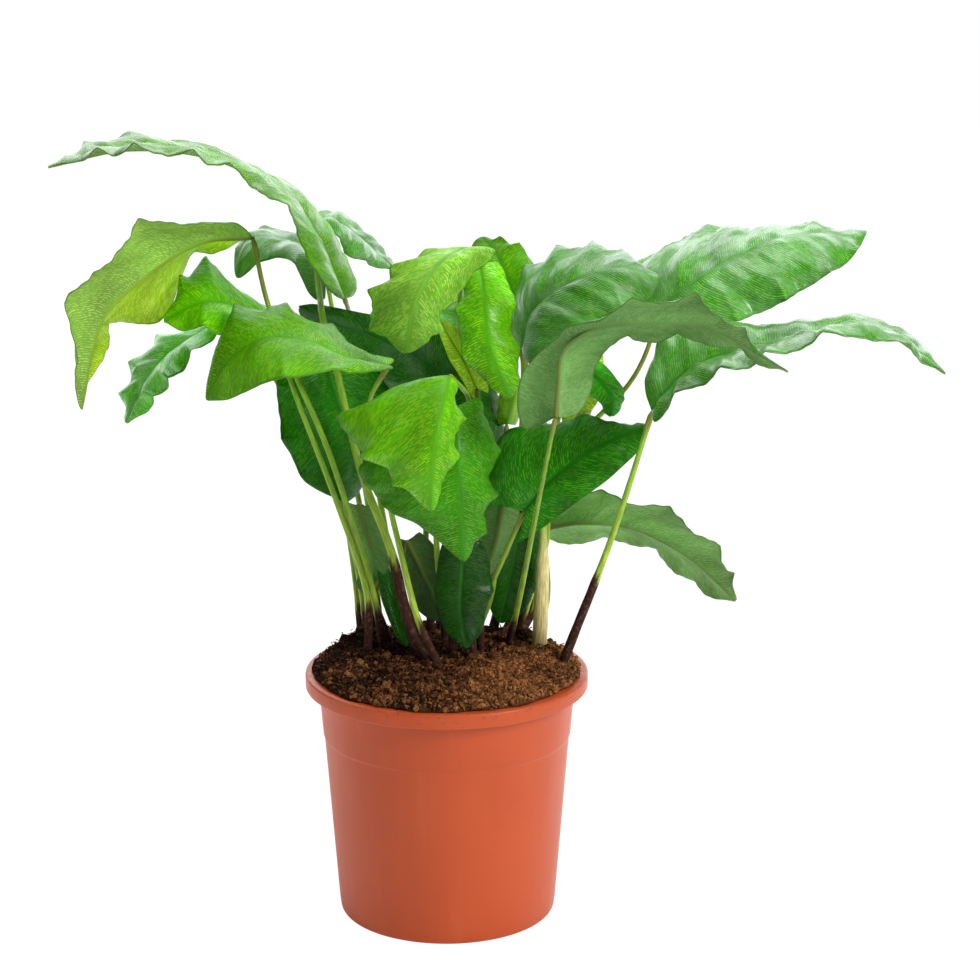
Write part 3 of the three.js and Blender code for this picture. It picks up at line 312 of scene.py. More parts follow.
add_leaf(
    "small_dark", "deep",
    stem=[[46, 54, 158], [54, 57, 178], [55, 54, 217], [62, 42, 271], [69, 26, 312]],
    rib=[[73, -6, 350], [86, 0, 335], [97, 4, 321], [98, 8, 307]],
    left=[[16, 3, -4], [14, 5, -6], [12, 8, -6]], right=[[-4, 10, -8], [-9, 9, -7], [-11, 11, -9]],
    crests=([0.5], [0.6]), wave=2, lobes=(2, 2), shade=1.9,
)
add_leaf(
    "low_right_dark", "deep",
    stem=[[31, 31, 158], [43, 44, 182], [45, 46, 220]],
    rib=[[43, 40, 245], [42, 38, 219], [37, 37, 192], [32, 36, 170]],
    left=[[17, 7, -6], [18, 5, -8], [21, 2, -10]], right=[[-16, -3, 2], [-16, -4, -2], [-16, -4, -2]],
    crests=([0.5], [0.5]), wave=1.5, radius=1.6, one=True, shade=0.5,
)
add_leaf(
    "right_arching", "grey",
    stem=[[37, 26, 160], [43, 0, 194], [53, -48, 265], [61, -88, 322]],
    rib=[
        [63, -90, 331], [64, -93, 350], [67, -93, 369], [84, -90, 381], [115, -94, 385], [147, -102, 384],
        [190, -112, 362],
    ],
    left=[[21, 31, -15], [6, 28, -15], [7, 31, -18]], right=[[-24, 18, -15], [3, -28, 20], [2, -25, 15]],
    crests=([0.4, 0.6, 0.8], [0.32, 0.46, 0.62, 0.82]), wave=3, lobes=(2, 8), radius=1.55, dry=26,
)
add_leaf(
    "right_lowest", "grey",
    stem=[[56, 48, 158], [62, 70, 180]],
    rib=[[59, 70, 220], [83, 50, 229], [114, 40, 228], [147, 32, 212], [175, 26, 187]],
    left=[[6, 39, -24], [4, 40, -21], [-5, 42, -29]], right=[[0, -12, 25], [13, -32, 23], [17, -37, 24]],
    crests=([0.3, 0.55, 0.8], [0.28, 0.5, 0.76, 0.9]), wave=2.8, lobes=(6, 10), radius=1.5, shade=1.25,
)
add_leaf(
    "rear_centre", "mid",
    stem=[[-6, 66, 158], [4, 74, 198], [10, 84, 266], [13, 86, 329]],
    rib=[[14, 84, 341], [13, 108, 355], [12, 136, 358], [11, 166, 346], [10, 192, 324]],
    left=[[28, -1, -8], [30, -1, -6], [34, -3, -3]], right=[[-26, -1, -8], [-28, -1, -6], [-29, -3, -3]],
    crests=([0.3, 0.6], [0.4, 0.75]), wave=2.2, one=True, turned=True,
)
add_leaf(
    "rear_right", "mid",
    stem=[[28, 66, 158], [32, 71, 173], [42, 80, 210], [48, 84, 241], [60, 88, 284], [84, 86, 328]],
    rib=[[87, 82, 339], [91, 104, 353], [96, 130, 355], [99, 156, 346], [102, 176, 328]],
    left=[[20, -2, -8], [20, -1, -4], [21, -1, -3]], right=[[-23, 0, -6], [-22, 1, -2], [-23, 2, -2]],
    crests=([0.35, 0.7], [0.3, 0.6]), wave=2.2, one=True, wax=0.5, turned=True,
)
add_leaf(
    "rear_left", "deep",
    stem=[[-53, 45, 158], [-59, 72, 199], [-70, 86, 266], [-77, 86, 313]],
    rib=[[-78, 80, 328], [-80, 102, 334], [-83, 128, 329], [-86, 152, 309]],
    left=[[-20, 1, -3], [-21, 5, -5], [-22, 6, -9]], right=[[20, 3, -5], [22, 7, -7], [22, 10, -12]],
    crests=([0.3, 0.6], [0.4, 0.75]), wave=2.2, one=True,
)

# ------------------------------------------------------------------------------------- meshes and curves


def unit(v):
    return v / np.maximum(np.linalg.norm(v, axis=-1, keepdims=True), 1e-9)


class Curve:
    """A smooth curve through the given points, walked by its length."""

    def __init__(self, points, samples=192):
        p = np.array(points, float)
        p = np.vstack([2 * p[0] - p[1], p, 2 * p[-1] - p[-2]])
        last = len(p) - 3
        x = np.linspace(0, 1, samples + 1) * last
        i = np.minimum(x.astype(int), last - 1)
        f = (x - i)[:, None]
        a, b, c, d = p[i], p[i + 1], p[i + 2], p[i + 3]
        self.points = 0.5 * (
            2 * b + (c - a) * f + (2 * a - 5 * b + 4 * c - d) * f**2 + (3 * b - a - 3 * c + d) * f**3
        )
        step = np.linalg.norm(np.diff(self.points, axis=0), axis=1)
        self.lengths = np.concatenate([[0], np.cumsum(step)])
        self.length = float(self.lengths[-1])

    def __call__(self, t):
        want = np.clip(np.asarray(t, float), 0, 1) * self.length
        return np.stack([np.interp(want, self.lengths, self.points[:, k]) for k in range(3)], -1)

    def way(self, t, step=0.01):
        """The direction of the curve at t."""
        return unit(self(np.minimum(1, t + step)) - self(np.maximum(0, t - step)))


def placed(name, data):
    ob = bpy.data.objects.new(name, data)
    bpy.context.scene.collection.objects.link(ob)
    return ob


def mesh_object(name, points, faces, materials, face_material=None, attributes=None):
    """A smooth-shaded object from points in millimetres, with attributes given as (kind, values) by name."""
    mesh = bpy.data.meshes.new(name)
    mesh.from_pydata((points * MM).tolist(), [], faces)
    for m in materials:
        mesh.materials.append(m)
    if face_material is not None:
        mesh.polygons.foreach_set("material_index", np.asarray(face_material, np.int32))
    for key, (kind, values) in (attributes or {}).items():
        a = mesh.attributes.new(key, kind, "POINT")
        field = {"FLOAT": "value", "FLOAT_VECTOR": "vector", "FLOAT_COLOR": "color"}[kind]
        a.data.foreach_set(field, np.asarray(values, np.float32).ravel())
    mesh.polygons.foreach_set("use_smooth", np.full(len(mesh.polygons), True))
    mesh.update()
    return placed(name, mesh)


def read_mesh(ob, name):
    """What an object's modifiers make of it, as a plain mesh."""
    bpy.context.view_layer.update()
    done = ob.evaluated_get(bpy.context.evaluated_depsgraph_get())
    mesh = bpy.data.meshes.new_from_object(done)
    mesh.name = name
    return mesh


def ring_quads(idx, inward=False):
    """The quads between each ring of points and the next one, closed all the way round."""
    low, high = idx[:-1], idx[1:]
    next_low, next_high = np.roll(low, -1, 1), np.roll(high, -1, 1)
    corners = [low, high, next_high, next_low] if inward else [low, next_low, next_high, high]
    return np.stack(corners, -1).reshape(-1, 4).tolist()


def tube(line, radius, sides, count):
    """A closed tube along a curve. radius is a function of t and of the turn round it."""
    t = np.linspace(0, 1, count)
    way = line.way(t)
    turn = np.linspace(0, FULL_TURN, sides, endpoint=False)
    side = np.zeros_like(way)
    s = np.array([1.0, 0, 0])
    for i in range(count):
        s = s - way[i] * np.dot(s, way[i])
        s = s / np.linalg.norm(s)
        side[i] = s
    other = np.cross(way, side)
    r = radius(t[:, None], turn[None, :])[..., None]
    across = side[:, None] * np.cos(turn)[:, None] + other[:, None] * np.sin(turn)[:, None]
    ring = line(t)[:, None] + r * across
    idx = np.arange(count * sides).reshape(count, sides)
    faces = ring_quads(idx) + [idx[0][::-1].tolist(), idx[-1].tolist()]
    return ring.reshape(-1, 3), faces, t


# ------------------------------------------------------------------------------------------ leaf blades

BLADE_THICKNESS = 0.9
SMALL_LEAF = 70  # a leaf with a midrib shorter than this gets fewer faces
NEAREST_STATIONS = 0.0022
VEIN_ROW = 7.5  # from one side vein to the next
FOLD_ROW = 30.0  # from one broad fold to the next
DASH_ROW = 1.5  # the dashes stand in rows this far apart, along the side veins
CRIMP_LONG, CRIMP_SHORT = 17, 7.9  # small uneven crimps of the margin
CRIMP_REACH, CRIMP_LIFT = 0.011, 0.4
VEIN_SLANT, VEIN_CURL = 0.42, 0.0065  # how the side veins leave the midrib, and bend towards the tip
FINE_FOLD, BROAD_FOLD, WAXY_FOLD = 0.10, 0.28, 0.55  # heights, the last one more on a waxy leaf
GROOVE_DEPTH, GROOVE_WIDTH, RIDGE_WIDTH = 0.22, 1.1, 1.2  # the midrib is a groove above and a ridge below
EDGE_THINNER = 0.45  # the share that the blade loses in thickness towards its margin
SHADE_WANDER = 0.08  # no two leaves are the same green


def outline(t):
    """The blade's half width along the midrib, as a share of the widest: ovate, with a drawn-out tip."""
    body = np.maximum(0, np.sin(np.pi * np.clip(t, 0, 1) ** 0.75)) ** 0.65
    return np.where(t > 0.85, body * (1 - 0.5 * ((t - 0.85) / 0.15) ** 2), body)


def soft(t):
    """t with its two ends held back, so that the reach doesn't run away beyond the three given places."""
    return 0.5 + 0.36 * np.tanh((t - 0.5) / 0.36)


def reach_along(rows, t):
    a, b, c = soft(0.2), soft(0.5), soft(0.8)
    u = soft(t)[:, None]
    r = np.array(rows, float)
    return (
        r[0] * (u - b) * (u - c) / ((a - b) * (a - c))
        + r[1] * (u - a) * (u - c) / ((b - a) * (b - c))
        + r[2] * (u - a) * (u - b) / ((c - a) * (c - b))
    )


def fade_ends(t, foot, tip):
    return np.minimum(1, np.minimum(t / foot, (1 - t) / tip))


def wave_at(crests, t):
    """The wave of a margin: each crest is a cusp, rounded off over a short length."""
    ends = np.array([0, *crests, 1], float)
    i = np.clip(np.searchsorted(ends, t, side="left") - 1, 0, len(ends) - 2)
    u = (t - ends[i]) / (ends[i + 1] - ends[i])
    return fade_ends(t, 0.14, 0.12) * (1 - 1.9 * np.sqrt(np.sin(np.pi * u) ** 2 + 0.0016))


def blade_half(leaf, t, k, left):
    """The middle surface of one half of the blade: t along, k from the midrib (0) to the margin (1)."""
    half = 0 if left else 1
    rib = Curve(leaf["rib"])
    along = rib.way(t)
    base_way = unit(rib(0.06) - rib(0.0))
    reach = reach_along(leaf["left" if left else "right"], t)
    up = unit(np.cross(along, reach) if left else np.cross(reach, along))
    width = np.linalg.norm(reach, axis=1)
    wave = wave_at(leaf["crests"][half], t)[:, None]
    narrow = (1.2 / np.maximum(width, 1))[:, None]
    kk = k[None, :]
    s = t * rib.length
    crimp = np.sin(s * FULL_TURN / CRIMP_LONG + 3 * left + s[-1])
    crimp = crimp + 0.7 * np.sin(s * FULL_TURN / CRIMP_SHORT + 1.3)
    crimp = (crimp * fade_ends(t, 0.12, 0.1))[:, None]
    swell = 1 + 0.06 * wave * kk * kk + CRIMP_REACH * crimp * kk**5
    share = narrow + (1 - narrow) * outline(t)[:, None] * swell
    p = rib(t)[:, None, :] + reach[:, None, :] * (share * kk)[..., None]
    bulge = leaf["arch"] * 4 * kk * (1 - kk) * (width * outline(t))[:, None]
    lift = leaf["wave"] * wave * kk**2.2 + bulge + CRIMP_LIFT * crimp * kk**4
    p = p + up[:, None, :] * lift[..., None]
    sweep = leaf["lobes"][half] * np.minimum(1, t / 0.05) * np.maximum(0, 1 - t / 0.35) ** 2
    return p - base_way * (sweep[:, None] * kk**1.4)[..., None]


def grid_normals(g):
    a = np.empty_like(g)
    a[1:-1], a[0], a[-1] = g[2:] - g[:-2], g[1] - g[0], g[-1] - g[-2]
    b = np.empty_like(g)
    b[:, 1:-1], b[:, 0], b[:, -1] = g[:, 2:] - g[:, :-2], g[:, 1] - g[:, 0], g[:, -1] - g[:, -2]
    return unit(np.cross(b, a))


def blade_relief(x, q, k, t, wax, number):
    """How far the folds and the fine side veins lift the blade."""
    fine = FINE_FOLD * np.sin(q * FULL_TURN / VEIN_ROW + number + 0.6 * np.sin(x / 9))
    broad = np.sin(q * FULL_TURN / FOLD_ROW + 2 * number + 0.05 * x)
    broad = broad + 0.6 * np.sin(q * FULL_TURN / (0.43 * FOLD_ROW) + number + 0.11 * x)
    relief = (fine + (BROAD_FOLD + WAXY_FOLD * wax) * broad) * np.minimum(1, x / 8) * (1 - k**6)
    return relief * np.minimum(1, (1 - t) / 0.15) * np.minimum(1, t / 0.06)


def shell_faces(high, wide):
    """The quads of a closed skin: the upper sheet, the under sheet, and the rim that joins them."""
    size = high * wide
    idx = np.arange(size).reshape(high, wide)
    a, b, c, d = idx[:-1, :-1], idx[:-1, 1:], idx[1:, 1:], idx[1:, :-1]
    upper = np.stack([a, b, c, d], -1).reshape(-1, 4)
    under = np.stack([a, d, c, b], -1).reshape(-1, 4) + size
    rim = np.concatenate([idx[0], idx[1:, -1], idx[-1, -2::-1], idx[-2:0:-1, 0]])
    after = np.roll(rim, -1)
    edge = np.stack([rim, rim + size, after + size, after], -1)
    which = np.concatenate([np.zeros(len(upper)), np.ones(len(under) + len(edge))])
    return np.concatenate([upper, under, edge]).tolist(), which


def blade_object(leaf, number, upper_face, under_face):
    rng = np.random.default_rng(500 + number)
    rib = Curve(leaf["rib"])
    stations, columns = (64, 12) if rib.length < SMALL_LEAF else (112, 20)
    t = np.unique(np.concatenate([np.linspace(0, 1, stations), *leaf["crests"], [0.012, 0.025, 0.988]]))
    t = t[np.concatenate([[True], np.diff(t) > NEAREST_STATIONS])]
    t[-1] = 1.0
    half = np.linspace(0, 1, columns) ** 1.15
    left, right = blade_half(leaf, t, half[1:][::-1], True), blade_half(leaf, t, half, False)
    g = np.concatenate([left, right], axis=1)
    n = grid_normals(g)
    mid = columns - 1
    k = np.concatenate([half[1:][::-1], half])[None, :]
    side = np.concatenate([-np.ones(mid), np.ones(columns)])[None, :]
    tt = t[:, None]
    # x is how far a point is from the midrib, and q where its side vein left the midrib
    x = np.zeros(g.shape[:2])
    x[:, mid + 1 :] = np.cumsum(np.linalg.norm(np.diff(g[:, mid:], axis=1), axis=2), axis=1)
    x[:, :mid] = np.cumsum(np.linalg.norm(np.diff(g[:, mid::-1], axis=1), axis=2), axis=1)[:, ::-1]
    y = tt * rib.length + 0 * x
    q = y - VEIN_SLANT * x - VEIN_CURL * x**2
    strong = 1 - 0.75 * tt
    groove = GROOVE_DEPTH * strong * np.exp(-((x / GROOVE_WIDTH) ** 2))
    ridge = (strong + 0.5 * np.exp(-((y / 22) ** 2))) * np.exp(-((x / RIDGE_WIDTH) ** 2))
    relief = blade_relief(x, q, k, tt, leaf["wax"], number)
    thin = 0.5 * BLADE_THICKNESS * (1 - EDGE_THINNER * k**4)
    upper = g + n * (thin - groove + relief)[..., None]
    under = g - n * (thin + ridge - relief)[..., None]
    faces, which = shell_faces(*x.shape)
    # a little lighter near the stalk and darker towards the tip, and each leaf a shade of its own, partly
    # painted light and shade
    # a random tone of the leaf's own, times its shade factor, which is partly painted light and shade
    tone_and_painted_light = leaf["shade"] * (1 + SHADE_WANDER * (rng.random() - 0.5))

    def both(values):
        return np.concatenate([(values + 0 * x).ravel()] * 2)

    place = np.stack([x, q, 7.31 * number + side * 1.7 + 0 * x], -1).reshape(-1, 3)
    attributes = {
        "vein": ("FLOAT_VECTOR", np.concatenate([place, place])),
        "light": ("FLOAT", both((1.08 - 0.25 * (tt - 0.2)) * tone_and_painted_light)),
        "thin": ("FLOAT", both(np.where(side < 0, *leaf["thin"]))),
        "wax": ("FLOAT", both(leaf["wax"])),
        "margin": ("FLOAT", both(k)),
    }
    points = np.concatenate([upper.reshape(-1, 3), under.reshape(-1, 3)])
    materials = [upper_face, under_face]
    ob = mesh_object(leaf["name"] + "_blade_fine", points, faces, materials, which, attributes)
    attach(ob, "root")
    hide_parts(leaf["name"] + ("_leaf" if leaf["one"] else "_blade"))
    return ob


# ----------------------------------------------------------------------------------------- leaf stalks

STEM_DEPTH = 16.0  # how deep a stalk stands in the soil
STALK_SIDES, STALK_RINGS = 14, 72
JOINT = 13.0  # the swollen joint under the blade
SHEATH_SWELL = 0.22  # the dry sheath stands out from the stalk by this share
PALE_STOUT, PALE_END = 56, 66  # how far up the pale foot stays stout, and pale
DEEP_STALK_PAINTED_SHADE = 0.72  # painted shade: stalks of deep green and grey leaves are painted darker


def stem_line(leaf):
    """From its foot in the soil to just under the blade's start."""
    first, second = np.array(leaf["stem"][0], float), np.array(leaf["stem"][1], float)
    foot = first + unit(first - second) * STEM_DEPTH
    rib = Curve(leaf["rib"])
    tip = rib(0.0)
    return Curve([foot, *leaf["stem"], tip - unit(rib(0.03) - tip) * 0.2])


def below(up, end, blur):
    """1 below a height and 0 above it, with a soft change between."""
    return 1 / (1 + np.exp((up - end) / blur))


def blended(colour, share, other):
    share = np.asarray(share)[:, None]
    return colour * (1 - share) + linear(other) * share


def stem_object(leaf, number, material):
    line = stem_line(leaf)
    total, dry = line.length, leaf["dry"]
    phase = np.random.default_rng(900 + number).random() * 6.28

    def radius(t, turn):
        up = t * total - STEM_DEPTH
        near = (1 - t) * total
        r = leaf["radius"] * (1.3 - 0.52 * t)
        sheath = below(up, dry, 2.0) if dry else 0
        r = r * (1 + SHEATH_SWELL * sheath)
        r = r + 0.14 * sheath * np.sin(5 * turn + up * 0.13 + phase) + 0.08 * np.sin(3 * turn + phase)
        if leaf["pale"]:
            r = r * (0.8 + 0.55 * below(up, PALE_STOUT, 3))
        r = r * (1 + 0.25 * np.exp(-(((near - JOINT / 2) / (JOINT / 2)) ** 2)))
        return r * np.where(near < 1.5, 0.55 + 0.3 * near, 1)

    points, faces, t = tube(line, radius, STALK_SIDES, STALK_RINGS)
    up = np.repeat(t * total - STEM_DEPTH, STALK_SIDES)
    near = np.repeat((1 - t) * total, STALK_SIDES)
    turn = np.tile(np.linspace(0, FULL_TURN, STALK_SIDES, endpoint=False), STALK_RINGS)
    torn = 3 * np.sin(turn * 2 + phase) + 2 * np.sin(turn * 5 + 2 * phase)
    sheath = below(up + torn, dry, 0.8) if dry else np.zeros_like(up)
    low = 0.55 * np.exp(-np.maximum(0, up - dry) / 55)
    colour = linear(STALK_GREEN) * (1 - low)[:, None] + linear(STALK_YELLOW) * low[:, None]
    # painted shade: darker stalks for deep green and grey leaves
    if leaf["tone"] in ("deep", "grey"):
        colour = colour * DEEP_STALK_PAINTED_SHADE
    if leaf["pale"]:
        colour = blended(colour, below(up, PALE_END, 5), PALE_SHEATH)
        colour = blended(colour, 0.7 * np.exp(-np.maximum(0, up) / 12), PALE_FOOT)
    colour = blended(colour, 0.75 * np.exp(-((near / leaf["brown"]) ** 4)), STALK_OLIVE)
    colour = blended(colour, sheath, STALK_BROWN)
    across = turn * leaf["radius"]
    attributes = {
        "ground": ("FLOAT_COLOR", np.concatenate([colour, np.ones((len(colour), 1))], 1)),
        "dry": ("FLOAT", sheath),
        "along": ("FLOAT_VECTOR", np.stack([across, up, np.full_like(up, number * 3.7)], -1)),
    }
    ob = mesh_object(leaf["name"] + "_stalk_fine", points, faces, [material], None, attributes)
    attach(ob, "root")
    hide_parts(leaf["name"] + ("_leaf" if leaf["one"] else "_stem"))
    return ob


# ----------------------------------------------------------------------------------------- materials


class Tree:
    """A short way to write a node tree."""

    def __init__(self, tree):
        self.tree = tree

    def node(self, kind, settings=None, **inputs):
        n = self.tree.nodes.new(kind)
        for key, value in (settings or {}).items():
            setattr(n, key, value)
        for key, value in inputs.items():
            self.feed(n, key.replace("_", " "), value)
        return n

    def feed(self, n, key, value):
        """Sets an input, by its name or number, to a value or links it to an output."""
        socket = n.inputs[int(key)] if key.isdigit() else n.inputs[key]
        if isinstance(value, bpy.types.NodeSocket):
            self.tree.links.new(value, socket)
        else:
            socket.default_value = value

    def numbered(self, kind, settings, *values):
        n = self.node(kind, settings)
        for i, value in enumerate(values):
            self.feed(n, str(i), value)
        return n.outputs[0]

    def math(self, operation, *values):
        return self.numbered("ShaderNodeMath", {"operation": operation}, *values)

    def plus(self, first, *more):
        for value in more:
            first = self.math("ADD", first, value)
        return first

    def times(self, first, *more):
        for value in more:
            first = self.math("MULTIPLY", first, value)
        return first

    def span(self, value, low, high, out_low=0.0, out_high=1.0):
        """A soft step: out_low at low, out_high at high."""
        settings = {"interpolation_type": "SMOOTHSTEP"}
        return self.numbered("ShaderNodeMapRange", settings, value, low, high, out_low, out_high)

    def mix(self, factor, a, b, blend="MIX"):
        n = self.node("ShaderNodeMix", {"data_type": "RGBA", "blend_type": blend})
        for key, value in (("0", factor), ("6", a), ("7", b)):
            self.feed(n, key, value)
        return n.outputs[2]

    def shaded(self, colour, value):
        """A colour made lighter or darker by a number."""
        grey = self.numbered("ShaderNodeCombineColor", None, value, value, value)
        return self.mix(1.0, colour, grey, "MULTIPLY")

    def noise(self, where, factors, detail=3.0, rough=0.55):
        """Soft noise over a place whose three axes are scaled first."""
        place = self.numbered("ShaderNodeVectorMath", {"operation": "MULTIPLY"}, where, factors)
        n = self.node("ShaderNodeTexNoise", Vector=place, Scale=1.0, Detail=detail, Roughness=rough)
        return n.outputs["Fac"]

    def attribute(self, name, output="Fac"):
        return self.node("ShaderNodeAttribute", {"attribute_name": name}).outputs[output]

    def skin(self, colour, roughness, specular, height, strength, depth):
        """A plain surface with a fine relief, depth in metres."""
        bump = self.node("ShaderNodeBump", Height=height, Strength=strength, Distance=depth).outputs[0]
        n = self.node("ShaderNodeBsdfPrincipled", Normal=bump, Base_Color=colour, Roughness=roughness)
        self.feed(n, "Specular IOR Level", specular)
        return n

    def blend(self, factor, first, second):
        return self.numbered("ShaderNodeMixShader", None, factor, first.outputs[0], second.outputs[0])

    def finish(self, surface):
        self.node("ShaderNodeOutputMaterial", Surface=surface)


def new_material(name):
    m = bpy.data.materials.new(name)
    m.use_nodes = True
    m.node_tree.nodes.clear()
    return m, Tree(m.node_tree)


MOSAIC_SOCKETS = {
    "INPUT": {
        "Vector": ["Place"],
        "Color": ["Ground", "Dash", "Rib"],
        "Float": ["Margin", "Light", "Thin", "Wax"],
    },
    "OUTPUT": {"Color": ["Colour"], "Float": ["Height", "Roughness", "Wax"]},
}


def mosaic_group():
    """The blade's mosaic: short light dashes in rows between fine side veins, and the veins' own relief."""
    group = bpy.data.node_groups.new("Leaf mosaic", "ShaderNodeTree")
    for way, kinds in MOSAIC_SOCKETS.items():
        for kind, keys in kinds.items():
            for key in keys:
                group.interface.new_socket(key, in_out=way, socket_type="NodeSocket" + kind)
    t = Tree(group)
    given = t.node("NodeGroupInput").outputs
    place = given["Place"]
    part = t.node("ShaderNodeSeparateXYZ", Vector=place).outputs
    x, seed = part[0], part[2]
    # the rows are bent a little, so that they don't look ruled
    drift = t.noise(place, (0.07, 0.06, 1.0), 2.0)
    q = t.plus(part[1], t.times(t.math("SUBTRACT", drift, 0.5), 3.4))
    row = t.math("SINE", t.times(q, FULL_TURN / DASH_ROW))
    where = t.node("ShaderNodeCombineXYZ", X=t.times(x, 0.36), Y=t.times(q, 1.05 / DASH_ROW), Z=seed)
    broken = t.noise(where.outputs[0], (1.0, 1.0, 1.0), 1.0)
    dash = t.times(t.span(row, 0.05, 0.8), t.span(broken, 0.43, 0.56))
    patch = t.span(t.noise(place, (0.06, 0.06, 1.0)), 0.3, 0.6, 0.45, 1.0)
    off_rib = t.span(x, 0.6, 3.0)
    off_margin = t.span(given["Margin"], 0.94, 0.99, 1.0, 0.0)
    amount = t.times(dash, patch, off_rib, off_margin)
    # painted glow: a half that light shines through is painted a bright yellow green
    ground = t.mix(given["Thin"], given["Ground"], paint(PAINTED_GLOW_GROUND))
    mark = t.mix(given["Thin"], given["Dash"], paint(PAINTED_GLOW_DASH))
    colour = t.mix(amount, ground, mark)
    # fine dark lines where the side veins run
    lines = t.math("SINE", t.times(q, 4.2))
    colour = t.shaded(colour, t.span(lines, 0.3, 1.0, 1.06, 0.76))
    # random clouds, times each leaf's light, which is partly painted light and shade for where the leaf
    # stands
    cloud = t.span(t.noise(place, (0.035, 0.025, 1.0)), 0.3, 0.7, 0.8, 1.2)
    colour = t.shaded(colour, t.times(cloud, given["Light"]))
    # the midrib, clearest near the stalk, and the thin line of the margin
    rib = t.times(t.span(x, 0.6, 1.5, 1.0, 0.0), t.span(part[1], 12.0, 50.0, 0.8, 0.25))
    colour = t.mix(rib, colour, given["Rib"])
    hair = t.times(t.span(given["Margin"], 0.965, 0.995), 0.5)
    colour = t.mix(hair, colour, paint(MARGIN_LINE))
    # wax lies in patches of coat, and in the same patches a painted sheen, pale and bluish, greys the green
    wax = t.span(t.noise(place, (0.055, 0.045, 1.0)), 0.38, 0.6, 0.12, 1.0)
    painted_sheen = t.times(t.span(given["Wax"], 0.3, 1.0, 0.0, 0.17), wax)
    veins = t.math("SINE", t.times(q, FULL_TURN / VEIN_ROW))
    pores = t.noise(place, (0.5, 0.3, 1.0))
    t.node(
        "NodeGroupOutput",
        Colour=t.mix(painted_sheen, colour, paint(PAINTED_SHEEN_COLOUR)),
        Height=t.plus(t.times(lines, 0.4), t.times(veins, 0.5), t.times(amount, 0.3), t.times(pores, 1.5)),
        Roughness=t.span(t.noise(place, (0.1, 0.08, 1.0)), 0.3, 0.7, -0.07, 0.08),
        Wax=t.times(wax, given["Wax"]),
    )
    return group


THROUGH_SHARE = 0.27  # how much of the light comes through a blade
THROUGH_TINT = (1.6, 1.5, 0.4, 1)
# specular level, roughness and strength of the relief
UPPER_GLOSS, UNDER_GLOSS = (0.12, 0.42, 0.5), (0.16, 0.55, 0.3)
WAX_ROUGHNESS = 0.24
LEAF_RELIEF = 0.0004  # in metres


def blade_material(name, group, ground, dash, rib, upper):
    """One face of a blade: its mosaic, its gloss and the light that comes through it."""
    m, t = new_material(name)
    g = t.node("ShaderNodeGroup", {"node_tree": group}, Place=t.attribute("vein", "Vector"))
    for key, hue in (("Ground", ground), ("Dash", dash), ("Rib", rib)):
        t.feed(g, key, paint(hue))
    for key in ("Margin", "Light", "Thin", "Wax"):
        t.feed(g, key, t.attribute(key.lower()))
    colour, height = g.outputs["Colour"], g.outputs["Height"]
    specular, rough, relief = UPPER_GLOSS if upper else UNDER_GLOSS
    skin = t.skin(colour, t.plus(g.outputs["Roughness"], rough), specular, height, relief, LEAF_RELIEF)
    t.feed(skin, "Coat Roughness", WAX_ROUGHNESS)
    if upper:
        t.feed(skin, "Coat Weight", g.outputs["Wax"])
    glow = t.node("ShaderNodeBsdfTranslucent", Color=t.mix(1.0, colour, THROUGH_TINT, "MULTIPLY"))
    t.finish(t.blend(THROUGH_SHARE, skin, glow))
    return m


def stalk_material():
    m, t = new_material("Leaf stalk")
    place = t.attribute("along", "Vector")
    dry = t.attribute("dry")
    fibre = t.noise(place, (2.2, 0.12, 1.0), 4.0)
    fleck = t.noise(place, (0.7, 0.35, 1.0), 4.0, 0.65)
    colour = t.shaded(t.attribute("ground", "Color"), t.span(fibre, 0.3, 0.7, 0.65, 1.3))
    colour = t.mix(t.times(t.span(fleck, 0.5, 0.68), dry), colour, (0.10, 0.05, 0.035, 1))
    height = t.plus(fibre, t.times(fleck, dry))
    t.finish(t.skin(colour, t.span(dry, 0.0, 1.0, 0.45, 0.9), 0.25, height, 0.5, LEAF_RELIEF).outputs[0])
    return m


def pot_material():
    """Moulded plastic, a little streaky, with soil dust on the rim."""
    m, t = new_material("Terracotta plastic")
    place = t.node("ShaderNodeTexCoord").outputs["Object"]
    streak = t.noise(place, (60, 60, 7), 4.0)
    cloud = t.noise(place, (12, 12, 9))
    grain = t.noise(place, (900, 900, 900), 2.0)
    up = t.node("ShaderNodeSeparateXYZ", Vector=place).outputs[2]
    ground = t.mix(t.span(cloud, 0.3, 0.7), paint(POT_DEEP), paint(POT_WARM))
    ground = t.mix(t.span(streak, 0.5, 0.78, 0.0, 0.2), ground, paint(POT_STREAK))
    speck = t.span(t.noise(place, (420, 420, 420)), 0.58, 0.7)
    dust = t.times(t.span(up, 0.139, 0.152), speck, 0.5)
    rough = t.plus(t.span(streak, 0.3, 0.7, 0.38, 0.48), t.times(dust, 0.4))
    colour = t.mix(dust, ground, paint(POT_DUST))
    t.finish(t.skin(colour, rough, 0.28, t.plus(grain, t.times(streak, 0.6)), 0.1, 0.0003).outputs[0])
    return m


